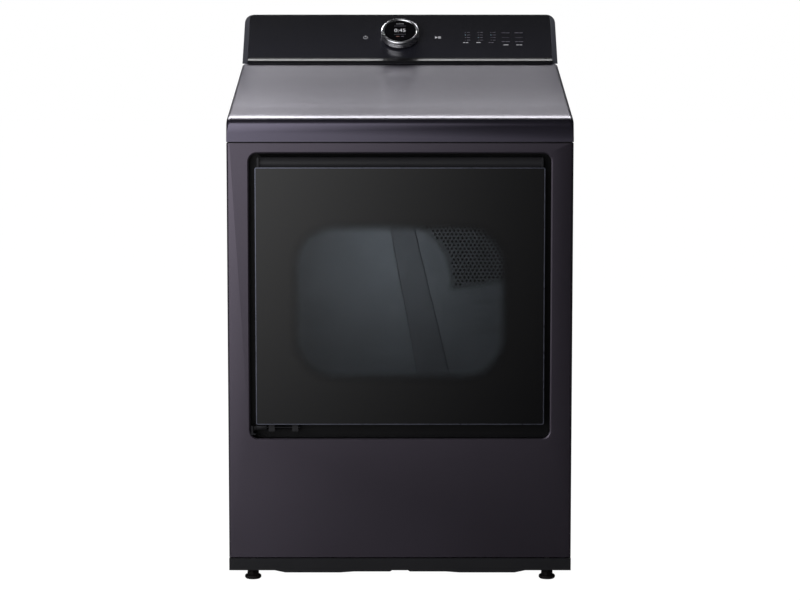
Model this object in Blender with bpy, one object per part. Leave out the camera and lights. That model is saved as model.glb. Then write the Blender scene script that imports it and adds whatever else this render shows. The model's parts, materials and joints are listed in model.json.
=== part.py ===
"""Front-loading clothes dryer, built as an assembly of separate pieces.

Units are metres, +Z is up and the front faces -Y.  The origin is on the floor, in the middle of
the footprint.  "Depth" below always means the distance behind the front panel's face.
"""

import math

import bmesh
import bpy
from mathutils import Matrix, Vector

# ---- overall sizes -------------------------------------------------------------------------
WIDTH = 0.686
HEIGHT = 1.130
DEPTH = 0.750                    # front panel to the end of the exhaust stub
EXHAUST_STUB = 0.025             # how far the exhaust stands out behind the rear panel
SHEET = 0.001                    # painted cabinet steel
GAP = 0.0003                     # space left between pieces that touch

# ---- cabinet -------------------------------------------------------------------------------
BASE_Z = 0.0235                  # underside of the base pan
BASE_WALL = 0.0245               # height of the base pan's walls
APRON_STEP = 0.0045              # how far the apron's lower edge dips
APRON_DEPTH = 0.020
APRON_EDGE = ((0.252, 0.0), (0.230, 1.0), (0.120, 1.0), (0.092, 0.56), (0.020, 0.56), (0.016, 0.0))
PANEL_SEAM = 0.0019              # dark seam above and below the front panel
FRONT_RETURN = 0.020             # front panel's flanges, front to back
FRONT_EDGE_RADIUS = 0.006
SIDE_FLANGE = 0.015
DECK_LIP = 0.0336                # upright front lip of the top deck
DECK_CURVE_DEPTH = 0.122         # where the deck's front curve ends
DECK_CURVE_RISE = 0.0656
DECK_CURVE_IN = 0.020            # pull of the curve's two ends
DECK_CURVE_OUT = 0.085
DECK_RISE = 0.1406               # seam to the console's foot
DECK_WALL = 0.0015
DECK_EDGE_RADIUS = 0.008
SEAL_INSET = 0.003
SEAL_WIDTH = 0.010

# ---- console and dial ----------------------------------------------------------------------
CONSOLE_RISE = 0.106
CONSOLE_RUN = 0.125              # how far the face leans back over its height
CONSOLE_TOP = 0.027              # flat top behind the face
CONSOLE_BACK = 0.020             # rear cover, front to back
CONSOLE_WALL = 0.003
CONSOLE_INSET = 0.0005           # console side to cabinet side
END_CAP = 0.011
CONSOLE_CORNER = 0.018
CONSOLE_CHAMFER = 0.006
CONSOLE_REAR_STEP = 0.005        # cabinet's rear to the console's back
BOARD_ACROSS = (-0.180, 0.270)   # control board, across and up the face
BOARD_UP = (0.030, 0.130)
BOARD_DROP = 0.012               # behind the face's inner side
BOARD_THICKNESS = 0.0016
DIAL_RADIUS = 0.0415
DIAL_HEIGHT = 0.0200
DIAL_RING_WALL = 0.0072
DIAL_FOOT = 0.004                # fixed foot below the turning ring
DIAL_PLACE = 0.53                # share of the face's height
DIAL_CLEARANCE = 0.0005
DIAL_CHAMFER = 0.0015
DIAL_FOOT_INSET = 0.004
DISPLAY_THICKNESS = 0.0015

# ---- door ----------------------------------------------------------------------------------
RECESS_SIDE = 0.0416             # cabinet side to recess side
RECESS_TOP = 0.0198              # seam to recess top
RECESS_HEIGHT = 0.5749
RECESS_RADIUS = 0.019
RECESS_DEPTH = 0.036
RECESS_WALL = 0.0015
RECESS_FLANGE = 0.008
DOOR_SIDE_GAP = 0.0144
FINGER_GAP = 0.0307              # above and below the glass
GLASS_THICKNESS = 0.005
GLASS_RADIUS = 0.003
FRAME_INSET = 0.0035
FRAME_DEPTH = 0.0165
PULL_HEIGHT = 0.0198             # frame standing above the glass as a finger pull
PULL_RADIUS = 0.0125
PULL_PLACE = 0.55                # share of the pull's height
PULL_END = 0.004
LINER_DEPTH = 0.0042
LINER_INSET = 0.0135
LINER_RADIUS = 0.020
WINDOW_SIDE = 0.063              # glass side to window side
WINDOW_BOTTOM = 0.0783
WINDOW_TOP = 0.1011
WINDOW_RADIUS = 0.070
WINDOW_THICKNESS = 0.005
WINDOW_COLLAR = 0.005
WINDOW_REACH = 0.058             # depth reached by the window's collar
PORT_CLEARANCE = 0.008           # collar to the port in the bulkhead
GASKET = 0.0035
STRIKE_SIZE = (0.008, 0.020)     # across and up
STRIKE_REACH = 0.010             # into the latch
STRIKE_SHIFT = 0.010             # from the middle of the liner's border
LATCH_CLEARANCE = 0.003
LATCH_WALL = 0.005
LATCH_SIZE = (0.024, 0.0188, 0.044)
HINGE_X_GAP = 0.0075             # swing axis to the glass's side
HINGE_DEPTH = 0.004
TILT_DROP = 0.0079               # tilt axis below the glass
TILT_DEPTH = 0.014
HINGE_PIN_RADIUS = 0.002
BARREL_RADIUS = 0.0039
TILT_PIN_RADIUS = 0.0035
HINGE_CLEARANCE = 0.0004
HINGE_SEAT = 0.0098              # bracket above the recess's lower edge, clear of its round corner
HINGE_PLATE = 0.003
HINGE_ARM = 0.0050               # half height of the knuckle's arm
HINGE_ARM_DEPTH = 0.006          # half its depth
LUG_START = 0.032                # swing axis to the first lug
LUG_PITCH = 0.047
LUG_WIDTH = 0.012
LUG_HALF = 0.007
LUG_GAP = 0.004
PIN_PAST = 0.003                 # tilt pin beyond the last lug

# ---- drum and what carries it --------------------------------------------------------------
DRUM_SIDE_CLEARANCE = 0.018
DRUM_TOP_CLEARANCE = 0.0584      # seam to the drum
DRUM_FRONT = 0.100
BULKHEAD_DEPTH = 0.0925
BULKHEAD_SHEET = 0.0015
REAR_BULKHEAD_GAP = 0.119        # rear bulkhead to the rear panel
BULKHEAD_BOTTOM = 0.180
BULKHEAD_TOP = 0.030             # below the seam
DRUM_REAR_GAP = 0.006
RIM_DEPTH = 0.018
SEAL_THICKNESS = 0.0074
SEAL_LENGTH = 0.010
SEAL_BEHIND = 0.008              # front bulkhead to the front seal
BAFFLE_HEIGHT = 0.075
BAFFLE_WIDTH = 0.090
BAFFLE_END = 0.030
BAFFLE_COUNT = 3
ROLLER_RADIUS = 0.0375
ROLLER_WIDTH = 0.022
ROLLER_ANGLE = 40.0              # degrees from straight down
ROLLER_SHAFT_RADIUS = 0.005
ROLLER_CLEARANCE = 0.0004
ROLLER_INSET = 0.004             # drum end to roller
ROLLER_TO_DUCT = 0.006
ROLLER_CHAMFER = 0.0015
FACETS = 72                      # sides of the drum's circle
GRILLE_TO_DRUM = 0.055           # hot air grille: a sector, its outer edge this far off the drum
GRILLE_LOW_SHARE = 0.40          # its inner edge, as shares of its outer radius,
GRILLE_HIGH_SHARE = 0.63         # moves outwards as it climbs
GRILLE_FROM = 10.0
GRILLE_TO = 81.0
GRILLE_EDGE = 0.008              # how far the grille laps the sheet round its opening
GRILLE_HOLE = 0.0065
GRILLE_ROWS = 4
GRILLE_SHEET = 0.0012

# ---- drive, air path and heater ------------------------------------------------------------
MOTOR_SIDE = 0.143               # motor axis to cabinet side
MOTOR_Z = 0.125
MOTOR_RADIUS = 0.062
MOTOR_FRONT = 0.225
MOTOR_LENGTH = 0.150
MOTOR_BOSS = 0.018
MOTOR_BELL = 0.018               # end bell, front to back
MOTOR_BOSS_STAND = 0.012
BRACKET_SIDE = 0.010             # bracket beyond the motor
BRACKET_PLACE = 0.026            # cradle plates from the motor's ends
BRACKET_SHEET = 0.002
SHAFT_RADIUS = 0.006
SHAFT_CLEARANCE = 0.0006
PULLEY_RADIUS = 0.012
PULLEY_FLANGE = 0.003
PULLEY_FRONT = 0.011             # belt's middle to the flanges' outer faces
PULLEY_REAR = 0.008
BELT_THICKNESS = 0.0025
BELT_WIDTH = 0.008
BELT_CLEARANCE = 0.0004
BELT_DEPTH = 0.400
IDLER_RADIUS = 0.022
IDLER_OFFSET = (-0.065, -0.008)  # idler axis from motor axis
IDLER_PIVOT = (-0.045, -0.070)   # arm pivot from motor axis
SPRING_POST = (-0.002, -0.050)
IDLER_WIDTH = 0.014
ARM_THICKNESS = 0.003
ARM_HALF = 0.008
STUD_RADIUS = 0.004
POST_HALF = 0.004
IDLER_FLANGE = 0.002
SPRING_TURNS = 6
SPRING_RADIUS = 0.0035
SPRING_WIRE = 0.0006
BLOWER_FRONT = 0.133
BLOWER_LENGTH = 0.080
BLOWER_RADIUS = 0.085
BLOWER_WALL = 0.002
BLOWER_INLET = 0.048             # at most; the duct's top can make it less
WHEEL_RADIUS = 0.072
WHEEL_BLADES = 16
WHEEL_FRONT = 0.012              # blower's ends to the wheel
WHEEL_REAR = 0.008
WHEEL_SHEET = 0.003
HUB_RADIUS = 0.014
BLADE_HALF = 0.001
OUTLET_FRONT = 0.017             # blower's front to its outlet box
BLOWER_REAR_HOLE = 0.020
EXHAUST_RADIUS = 0.050
EXHAUST_Z = 0.102
EXHAUST_OFFSET = 0.170           # exhaust axis from motor axis
DUCT_WALL = 0.0015
FILTER_TO_CORNER = 0.004         # filter's side to the port's round corner
FILTER_DROP = 0.196              # filter length below the port
FILTER_DEPTH = 0.0775            # middle of the filter
FILTER_THICKNESS = 0.010
FILTER_SCREEN = 0.002
FILTER_RAIL = 0.012
FILTER_GRIP = (0.008, 0.006)     # handle beyond the frame, and its height
FILTER_ROOM = 0.006              # filter to the duct round it
DUCT_TURN = 0.010                # overlap of the duct's two boxes
DUCT_DEPTH = 0.026
DUCT_BOTTOM = 0.050
HEATER_DEPTH = 0.085
HEATER_MARGIN = 0.020
ELEMENT_RADIUS = 0.004
ELEMENT_RUNS = 5
ELEMENT_PITCH = 0.034
ELEMENT_SIDE = 0.040
ELEMENT_LOW = 0.160              # below the drum axis
HEATER_LOW = 0.180

# ---- feet and rear fittings ----------------------------------------------------------------
LEG_SIDE = 0.046                 # leg axis to cabinet side
LEG_FRONT = 0.036
LEG_DISC_RADIUS = 0.0165
LEG_DISC = 0.008
LEG_NECK_RADIUS = 0.0135
LEG_STEM_RADIUS = 0.005
LEG_STEM_TOP = 0.048
TERMINAL_SIZE = (0.110, 0.0195, 0.070)
TERMINAL_SIDE = 0.060            # cabinet side to terminal cover
TERMINAL_TOP = 0.045             # below the seam
TERMINAL_RADIUS = 0.006
ACCESS_SIZE = (0.300, 0.420)
ACCESS_BOTTOM = 0.250
ACCESS_LAP = 0.012
LOWER_PANEL_TOP = 0.205          # seam between the two rear panels

# ---- places worked out from the sizes ------------------------------------------------------
FRONT_Y = -DEPTH / 2
HALF = WIDTH / 2
CABINET_DEPTH = DEPTH - EXHAUST_STUB
SEAM_Z = HEIGHT - CONSOLE_RISE - DECK_RISE
PANEL_TOP = SEAM_Z - PANEL_SEAM
BASE_TOP = BASE_Z + BASE_WALL
PANEL_BOTTOM = BASE_TOP + PANEL_SEAM
CONSOLE_FOOT_Z = HEIGHT - CONSOLE_RISE
CONSOLE_FOOT = CABINET_DEPTH - CONSOLE_REAR_STEP - CONSOLE_BACK - CONSOLE_TOP - CONSOLE_RUN
RECESS_HALF = HALF - RECESS_SIDE
RECESS_HIGH = SEAM_Z - RECESS_TOP
RECESS_LOW = RECESS_HIGH - RECESS_HEIGHT
GLASS_HALF = RECESS_HALF - DOOR_SIDE_GAP
GLASS_HIGH = RECESS_HIGH - FINGER_GAP
GLASS_LOW = RECESS_LOW + FINGER_GAP + GAP
FRAME_DEPTH_START = GLASS_THICKNESS + GAP
LINER_START = FRAME_DEPTH_START + FRAME_DEPTH + GAP
LINER_END = LINER_START + LINER_DEPTH
WINDOW_HALF = GLASS_HALF - WINDOW_SIDE
WINDOW_LOW = GLASS_LOW + WINDOW_BOTTOM
WINDOW_HIGH = GLASS_HIGH - WINDOW_TOP
PORT_GROWTH = WINDOW_COLLAR + PORT_CLEARANCE
PORT_LOW = WINDOW_LOW - PORT_GROWTH
SWING_X = -GLASS_HALF - HINGE_X_GAP
TILT_Z = GLASS_LOW - TILT_DROP
DRUM_RADIUS = HALF - DRUM_SIDE_CLEARANCE
DRUM_Z = SEAM_Z - DRUM_TOP_CLEARANCE - DRUM_RADIUS
REAR_BULKHEAD = CABINET_DEPTH - REAR_BULKHEAD_GAP
DRUM_REAR = REAR_BULKHEAD - DRUM_REAR_GAP
SEAL_OUTER = DRUM_RADIUS - SHEET - GAP
SEAL_INNER = SEAL_OUTER - SEAL_THICKNESS
RIM_RADIUS = SEAL_INNER - GAP
ROLLER_REACH = DRUM_RADIUS + ROLLER_RADIUS + ROLLER_CLEARANCE
ROLLER_X = ROLLER_REACH * math.sin(math.radians(ROLLER_ANGLE))
ROLLER_Z = DRUM_Z - ROLLER_REACH * math.cos(math.radians(ROLLER_ANGLE))
MOTOR_X = HALF - MOTOR_SIDE
EXHAUST_X = MOTOR_X - EXHAUST_OFFSET
GRILLE_OUTER = DRUM_RADIUS - GRILLE_TO_DRUM
GRILLE_INNER_LOW = GRILLE_OUTER * GRILLE_LOW_SHARE
GRILLE_INNER_HIGH = GRILLE_OUTER * GRILLE_HIGH_SHARE
FILTER_HALF_WIDTH = WINDOW_HALF - WINDOW_RADIUS - FILTER_TO_CORNER
DUCT_TOP = min(BULKHEAD_BOTTOM - DUCT_TURN / 2, ROLLER_Z - ROLLER_RADIUS - ROLLER_TO_DUCT)
INLET_RADIUS = min(BLOWER_INLET, DUCT_TOP - DUCT_WALL - MOTOR_Z - GAP)
LEG_X = HALF - LEG_SIDE
LEG_REAR = CABINET_DEPTH - LEG_FRONT

FACE_LENGTH = math.hypot(CONSOLE_RUN, CONSOLE_RISE)
FACE_UP = Vector((0, CONSOLE_RUN, CONSOLE_RISE)) / FACE_LENGTH
FACE_OUT = Vector((0, -CONSOLE_RISE, CONSOLE_RUN)) / FACE_LENGTH


def at(x, depth, z):
    """A point from its place across, its depth behind the front panel and its height."""
    return Vector((x, FRONT_Y + depth, z))


# ---- materials -----------------------------------------------------------------------------

def make_material(name, colour, roughness, metallic=0.0, alpha=1.0):
    material = bpy.data.materials.new(name)
    material.use_nodes = True
    shader = material.node_tree.nodes["Principled BSDF"]
    shader.inputs["Base Color"].default_value = (*colour, 1.0)
    shader.inputs["Roughness"].default_value = roughness
    shader.inputs["Metallic"].default_value = metallic
    shader.inputs["Alpha"].default_value = alpha
    material.diffuse_color = (*colour, alpha)
    return material


FINISHES = {
    "graphite_paint": ((0.055, 0.050, 0.058), 0.32, 0.75),
    "deck_paint": ((0.16, 0.155, 0.19), 0.38, 0.70),
    "console_black": ((0.020, 0.020, 0.026), 0.25, 0.0),
    "black_plastic": ((0.008, 0.008, 0.009), 0.45, 0.0),
    "smoked_glass": ((0.020, 0.019, 0.020), 0.05, 0.0),
    "clear_glass": ((0.30, 0.32, 0.33), 0.05, 0.0),
    "brushed_ring": ((0.55, 0.55, 0.57), 0.28, 1.0),
    "galvanised": ((0.45, 0.46, 0.47), 0.40, 0.95),
    "drum_steel": ((0.50, 0.50, 0.51), 0.28, 1.0),
    "grey_plastic": ((0.20, 0.20, 0.21), 0.50, 0.0),
    "felt": ((0.30, 0.29, 0.26), 0.95, 0.0),
    "rubber": ((0.015, 0.015, 0.015), 0.80, 0.0),
    "bare_steel": ((0.56, 0.56, 0.56), 0.30, 1.0),
    "board_green": ((0.02, 0.12, 0.06), 0.55, 0.0),
    "element_alloy": ((0.25, 0.20, 0.17), 0.45, 0.9),
    "filter_mesh": ((0.35, 0.36, 0.38), 0.60, 0.2),
}


# ---- shapes --------------------------------------------------------------------------------

def box_shape(low, high):
    shape = bmesh.new()
    size = Vector(high) - Vector(low)
    middle = (Vector(high) + Vector(low)) / 2
    place = Matrix.Translation(middle) @ Matrix.Diagonal((*size, 1.0))
    bmesh.ops.create_cube(shape, size=1.0, matrix=place)
    return shape


def prism_shape(outline, axis, start, end):
    """Push a flat outline along an axis: outlines are (y, z), (x, z) or (x, y) points."""
    shape = bmesh.new()
    place = {
        "x": lambda a, b: (start, a, b),
        "y": lambda a, b: (a, start, b),
        "z": lambda a, b: (a, b, start),
    }[axis]
    face = shape.faces.new([shape.verts.new(place(a, b)) for a, b in outline])
    pushed = bmesh.ops.extrude_face_region(shape, geom=[face])
    step = Vector([end - start if axis == letter else 0.0 for letter in "xyz"])
    verts = [item for item in pushed["geom"] if isinstance(item, bmesh.types.BMVert)]
    bmesh.ops.translate(shape, verts=verts, vec=step)
    bmesh.ops.recalc_face_normals(shape, faces=shape.faces[:])
    return shape


def rounded_outline(left, right, low, high, radius, steps=6):
    """A rectangle with round corners, as a list of points."""
    points = []
    corners = [(right, high, 0), (left, high, 90), (left, low, 180), (right, low, 270)]
    for corner_x, corner_z, turn in corners:
        centre_x = corner_x - radius if corner_x == right else corner_x + radius
        centre_z = corner_z - radius if corner_z == high else corner_z + radius
        for step in range(steps + 1):
            angle = math.radians(turn + 90 * step / steps)
            points.append((centre_x + radius * math.cos(angle), centre_z + radius * math.sin(angle)))
    return points


def turned_shape(profile, centre, axis, steps):
    """Turn a closed (radius, along) profile about an axis through a point."""
    shape = bmesh.new()
    turn = Vector(axis).normalized().to_track_quat("Z", "Y").to_matrix().to_4x4()
    verts = [shape.verts.new((radius, 0, along)) for radius, along in profile]
    edges = [shape.edges.new(pair) for pair in zip(verts, verts[1:] + verts[:1])
             if max(vert.co.x for vert in pair) > 0]
    bmesh.ops.spin(shape, geom=verts + edges, cent=(0, 0, 0), axis=(0, 0, 1), angle=math.tau,
                   steps=steps, use_merge=True, use_duplicate=False)
    bmesh.ops.remove_doubles(shape, verts=shape.verts[:], dist=1e-6)
    bmesh.ops.transform(shape, matrix=Matrix.Translation(centre) @ turn, verts=shape.verts[:])
    bmesh.ops.recalc_face_normals(shape, faces=shape.faces[:])
    return shape


def rod_shape(start, end, radius, sides=24):
    shape = bmesh.new()
    start, end = Vector(start), Vector(end)
    turn = (end - start).normalized().to_track_quat("Z", "Y").to_matrix().to_4x4()
    place = Matrix.Translation((start + end) / 2) @ turn
    bmesh.ops.create_cone(shape, cap_ends=True, segments=sides, radius1=radius, radius2=radius,
                          depth=(end - start).length, matrix=place)
    return shape


def gathered(shapes):
    """Put separate shapes that don't meet into one, to cut or join them in one step."""
    whole = bmesh.new()
    for shape in shapes:
        mesh = bpy.data.meshes.new("part")
        shape.to_mesh(mesh)
        shape.free()
        whole.from_mesh(mesh)
        bpy.data.meshes.remove(mesh)
    return whole


# ---- objects -------------------------------------------------------------------------------

def smooth(piece):
    piece.data.shade_smooth()
    piece.data.set_sharp_from_angle(angle=math.radians(35))


def piece_from(name, shape, finish, carrier=None):
    """Make a named piece from a shape; a moving piece hangs from its joint's empty."""
    mesh = bpy.data.meshes.new(name)
    shape.to_mesh(mesh)
    shape.free()
    mesh.materials.append(MATERIALS[finish])
    piece = bpy.data.objects.new(name, mesh)
    bpy.context.scene.collection.objects.link(piece)
    smooth(piece)
    if carrier:
        piece.parent = carrier
        piece.matrix_parent_inverse = carrier.matrix_world.inverted()
    return piece


def combine(piece, operation, shapes):
    """Join, cut or intersect a piece with each shape, in order."""
    for shape in shapes:
        mesh = bpy.data.meshes.new("tool")
        shape.to_mesh(mesh)
        shape.free()
        tool = bpy.data.objects.new("tool", mesh)
        bpy.context.scene.collection.objects.link(tool)
        step = piece.modifiers.new("step", "BOOLEAN")
        step.operation = operation
        step.solver = "EXACT"
        step.object = tool
        graph = bpy.context.evaluated_depsgraph_get()
        result = bpy.data.meshes.new_from_object(piece.evaluated_get(graph))
        before = piece.data
        piece.modifiers.clear()
        piece.data = result
        result.name = piece.name
        bpy.data.meshes.remove(before)
        bpy.data.objects.remove(tool)
        bpy.data.meshes.remove(mesh)
    smooth(piece)
    return piece


def cut(piece, *shapes):
    return combine(piece, "DIFFERENCE", shapes)


def join(piece, *shapes):
    return combine(piece, "UNION", shapes)


def joint_empty(name, place, parent=None):
    empty = bpy.data.objects.new(name, None)
    bpy.context.scene.collection.objects.link(empty)
    empty.empty_display_size = 0.05
    empty.location = place
    bpy.context.view_layer.update()
    if parent:
        empty.parent = parent
        empty.matrix_parent_inverse = parent.matrix_world.inverted()
        bpy.context.view_layer.update()
    return empty


# ---- cabinet -------------------------------------------------------------------------------

def leg_places():
    for side, x in (("left", -LEG_X), ("right", LEG_X)):
        for end, depth in (("front", LEG_FRONT), ("rear", LEG_REAR)):
            yield f"{end}_{side}", x, depth


def apron_outline():
    """The base's front strip: its lower edge steps down and up, the same on both sides."""
    right = [(HALF, BASE_TOP), (HALF, BASE_Z)]
    right += [(x, BASE_Z - APRON_STEP * share) for x, share in APRON_EDGE]
    return right + [(-x, z) for x, z in reversed(right)]


def base_pan():
    half = HALF - SHEET - GAP
    rear = CABINET_DEPTH - 2 * (SHEET + GAP)
    pan = piece_from("base_pan", box_shape(at(-half, SHEET, BASE_Z), at(half, rear, BASE_TOP)),
                     "galvanised")
    join(pan, prism_shape(apron_outline(), "y", FRONT_Y, FRONT_Y + SHEET * 1.5))
    join(pan, box_shape(at(-HALF, 0, BASE_Z), at(HALF, APRON_DEPTH, BASE_TOP)))
    cut(pan, box_shape(at(-half + SHEET, SHEET * 1.5, BASE_Z + SHEET),
                       at(half - SHEET, rear - SHEET, BASE_TOP + SHEET)))
    holes = [rod_shape(at(x, depth, BASE_Z - SHEET), at(x, depth, BASE_Z + 2 * SHEET),
                       LEG_STEM_RADIUS + HINGE_CLEARANCE) for _, x, depth in leg_places()]
    cut(pan, gathered(holes))
    return pan


def side_panels():
    front, rear = FRONT_RETURN + GAP, CABINET_DEPTH - SHEET - GAP
    base_front = APRON_DEPTH + GAP
    for name, side in (("side_panel_left", -1), ("side_panel_right", 1)):
        outer, inner = side * HALF, side * (HALF - SIDE_FLANGE)
        wall, past = side * (HALF - SHEET), side * (HALF - SIDE_FLANGE - SHEET)
        panel = piece_from(name, box_shape(
            at(min(outer, inner), front, BASE_Z),
            at(max(outer, inner), rear, PANEL_TOP)), "graphite_paint")
        cut(panel, box_shape(at(min(wall, past), front + SHEET, BASE_Z - SHEET),
                             at(max(wall, past), rear - SHEET, PANEL_TOP - SHEET)))
        # The base pan's wall stands where the front and rear flanges would cross it.
        cut(panel, box_shape(at(min(wall, past), base_front - SHEET, BASE_Z - SHEET),
                             at(max(wall, past), rear + SHEET, PANEL_BOTTOM)))


def rear_fittings_place():
    width, depth, height = TERMINAL_SIZE
    left = -HALF + TERMINAL_SIDE
    high = SEAM_Z - TERMINAL_TOP
    return left, left + width, high - height, high, depth


def rear_panel():
    inner = CABINET_DEPTH - SHEET
    lower = piece_from("rear_lower_panel", box_shape(
        at(-HALF, inner, BASE_Z), at(HALF, CABINET_DEPTH, LOWER_PANEL_TOP)), "galvanised")
    cut(lower, rod_shape(at(EXHAUST_X, inner - SHEET, EXHAUST_Z),
                         at(EXHAUST_X, CABINET_DEPTH + SHEET, EXHAUST_Z), EXHAUST_RADIUS + GAP, 48))
    panel = piece_from("rear_panel", box_shape(
        at(-HALF, inner, LOWER_PANEL_TOP + GAP), at(HALF, CABINET_DEPTH, PANEL_TOP)), "galvanised")
    half = ACCESS_SIZE[0] / 2 - ACCESS_LAP
    cut(panel, box_shape(at(-half, inner - SHEET, ACCESS_BOTTOM + ACCESS_LAP),
                         at(half, CABINET_DEPTH + SHEET,
                            ACCESS_BOTTOM + ACCESS_SIZE[1] - ACCESS_LAP)))
    cover = piece_from("rear_access_cover", prism_shape(
        rounded_outline(-ACCESS_SIZE[0] / 2, ACCESS_SIZE[0] / 2, ACCESS_BOTTOM,
                        ACCESS_BOTTOM + ACCESS_SIZE[1], ACCESS_LAP, 4),
        "y", FRONT_Y + CABINET_DEPTH + GAP, FRONT_Y + CABINET_DEPTH + GAP + SHEET), "galvanised")
    left, right, low, high, depth = rear_fittings_place()
    cover = piece_from("terminal_cover", prism_shape(
        rounded_outline(left, right, low, high, TERMINAL_RADIUS, 3),
        "y", FRONT_Y + CABINET_DEPTH + GAP, FRONT_Y + CABINET_DEPTH + GAP + depth), "galvanised")
    cut(cover, box_shape(at(left + SHEET, CABINET_DEPTH - SHEET, low + SHEET),
                         at(right - SHEET, CABINET_DEPTH + depth - SHEET, high - SHEET)))
    middle = (left + right) / 2
    cut(cover, rod_shape(at(middle, CABINET_DEPTH + depth / 2, low - SHEET),
                         at(middle, CABINET_DEPTH + depth / 2, low + 3 * SHEET), depth / 4, 16))


def front_plan(inset):
    """Plan view of the front panel: flat face, round front corners, flanges running back."""
    radius = FRONT_EDGE_RADIUS - inset
    half = HALF - inset
    front, back = FRONT_Y + inset, FRONT_Y + FRONT_RETURN + inset
    points = [(half, back)]
    for centre_x, first in ((half - radius, 0), (-half + radius, -90)):
        for step in range(5):
            angle = math.radians(first - 90 * step / 4)
            points.append((centre_x + radius * math.cos(angle),
                           front + radius + radius * math.sin(angle)))
    points.append((-half, back))
    return points


def recess_outline(growth):
    return rounded_outline(-RECESS_HALF - growth, RECESS_HALF + growth, RECESS_LOW - growth,
                           RECESS_HIGH + growth, RECESS_RADIUS + growth)


def window_outline(growth):
    return rounded_outline(-WINDOW_HALF - growth, WINDOW_HALF + growth, WINDOW_LOW - growth,
                           WINDOW_HIGH + growth, WINDOW_RADIUS + growth, 8)


def front_panel():
    panel = piece_from("front_panel", prism_shape(front_plan(0), "z", PANEL_BOTTOM, PANEL_TOP),
                       "graphite_paint")
    cut(panel, prism_shape(front_plan(SHEET), "z", PANEL_BOTTOM + SHEET, PANEL_TOP - SHEET))
    cut(panel, prism_shape(recess_outline(0), "y", FRONT_Y - SHEET, FRONT_Y + FRONT_RETURN / 2))


def door_recess_liner():
    front, back = FRONT_Y + SHEET + GAP, FRONT_Y + RECESS_DEPTH
    liner = piece_from("door_recess_liner", prism_shape(
        recess_outline(RECESS_WALL), "y", front, back + RECESS_WALL), "black_plastic")
    join(liner, prism_shape(recess_outline(RECESS_FLANGE), "y", front, front + RECESS_WALL))
    cut(liner, prism_shape(recess_outline(0), "y", front - RECESS_WALL, back))
    cut(liner, prism_shape(window_outline(PORT_GROWTH), "y", back - RECESS_WALL,
                           back + 2 * RECESS_WALL))


def deck_side_profile(inset):
    """Side view of the top deck as (y, z): lip, front curve, slope, level rear."""
    front, low = FRONT_Y + inset, SEAM_Z + inset
    points = [(FRONT_Y + CABINET_DEPTH - inset, low), (front, low)]
    lip_z, curve_z = SEAM_Z + DECK_LIP, SEAM_Z + DECK_CURVE_RISE
    foot = (FRONT_Y + CONSOLE_FOOT, CONSOLE_FOOT_Z - inset)
    start = Vector((front, lip_z - inset))
    end = Vector((FRONT_Y + DECK_CURVE_DEPTH, curve_z - inset))
    slope = (Vector(foot) - end).normalized()
    handle_in, handle_out = start + Vector((0, DECK_CURVE_IN)), end - slope * DECK_CURVE_OUT
    steps = 8
    for step in range(steps + 1):
        t = step / steps
        points.append(tuple((1 - t) ** 3 * start + 3 * (1 - t) ** 2 * t * handle_in
                            + 3 * (1 - t) * t ** 2 * handle_out + t ** 3 * end))
    points += [foot, (FRONT_Y + CABINET_DEPTH - inset, CONSOLE_FOOT_Z - inset)]
    return points


def top_deck():
    shape = prism_shape(deck_side_profile(0), "x", -HALF, HALF)
    rims = [edge for edge in shape.edges
            if abs(abs(edge.verts[0].co.x) - HALF) < 1e-6
            and abs(edge.verts[0].co.x - edge.verts[1].co.x) < 1e-6
            and min(v.co.z for v in edge.verts) > SEAM_Z + 1e-4]
    bmesh.ops.bevel(shape, geom=rims, offset=DECK_EDGE_RADIUS, segments=3, profile=0.5,
                    affect="EDGES", material=-1, clamp_overlap=True)
    deck = piece_from("top_deck", shape, "deck_paint")
    cavity = DECK_EDGE_RADIUS / 2
    cut(deck, prism_shape(deck_side_profile(DECK_WALL), "x", -HALF + cavity, HALF - cavity))
    flange = SEAL_INSET + SEAL_WIDTH + GAP
    cut(deck, box_shape(at(-HALF + flange, flange, SEAM_Z - DECK_WALL),
                        at(HALF - flange, CABINET_DEPTH - flange, SEAM_Z + 2 * DECK_WALL)))


def deck_seal():
    low, high = PANEL_TOP + GAP, SEAM_Z - GAP
    outer, inner = SEAL_INSET, SEAL_INSET + SEAL_WIDTH
    seal = piece_from("deck_seal", box_shape(at(-HALF + outer, outer + FRONT_EDGE_RADIUS / 2, low),
                                             at(HALF - outer, CABINET_DEPTH - outer, high)),
                      "rubber")
    cut(seal, box_shape(at(-HALF + inner, inner + FRONT_EDGE_RADIUS / 2, low - GAP),
                        at(HALF - inner, CABINET_DEPTH - inner, high + GAP)))


# ---- console -------------------------------------------------------------------------------

def face_point(x, up, out):
    """A point on the console: up its face from the foot, and out from the face."""
    foot = at(x, CONSOLE_FOOT, CONSOLE_FOOT_Z + GAP)
    return foot + FACE_UP * up + FACE_OUT * out


def console_envelope():
    half = HALF - CONSOLE_INSET
    outline = [(half, CONSOLE_FOOT_Z), (-half, CONSOLE_FOOT_Z)]
    for centre_x, first in ((-half + CONSOLE_CORNER, 180), (half - CONSOLE_CORNER, 90)):
        for step in range(7):
            angle = math.radians(first - 90 * step / 6)
            outline.append((centre_x + CONSOLE_CORNER * math.cos(angle),
                            HEIGHT - CONSOLE_CORNER + CONSOLE_CORNER * math.sin(angle)))
    outline.reverse()
    return prism_shape(outline, "y", FRONT_Y, FRONT_Y + DEPTH)


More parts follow.
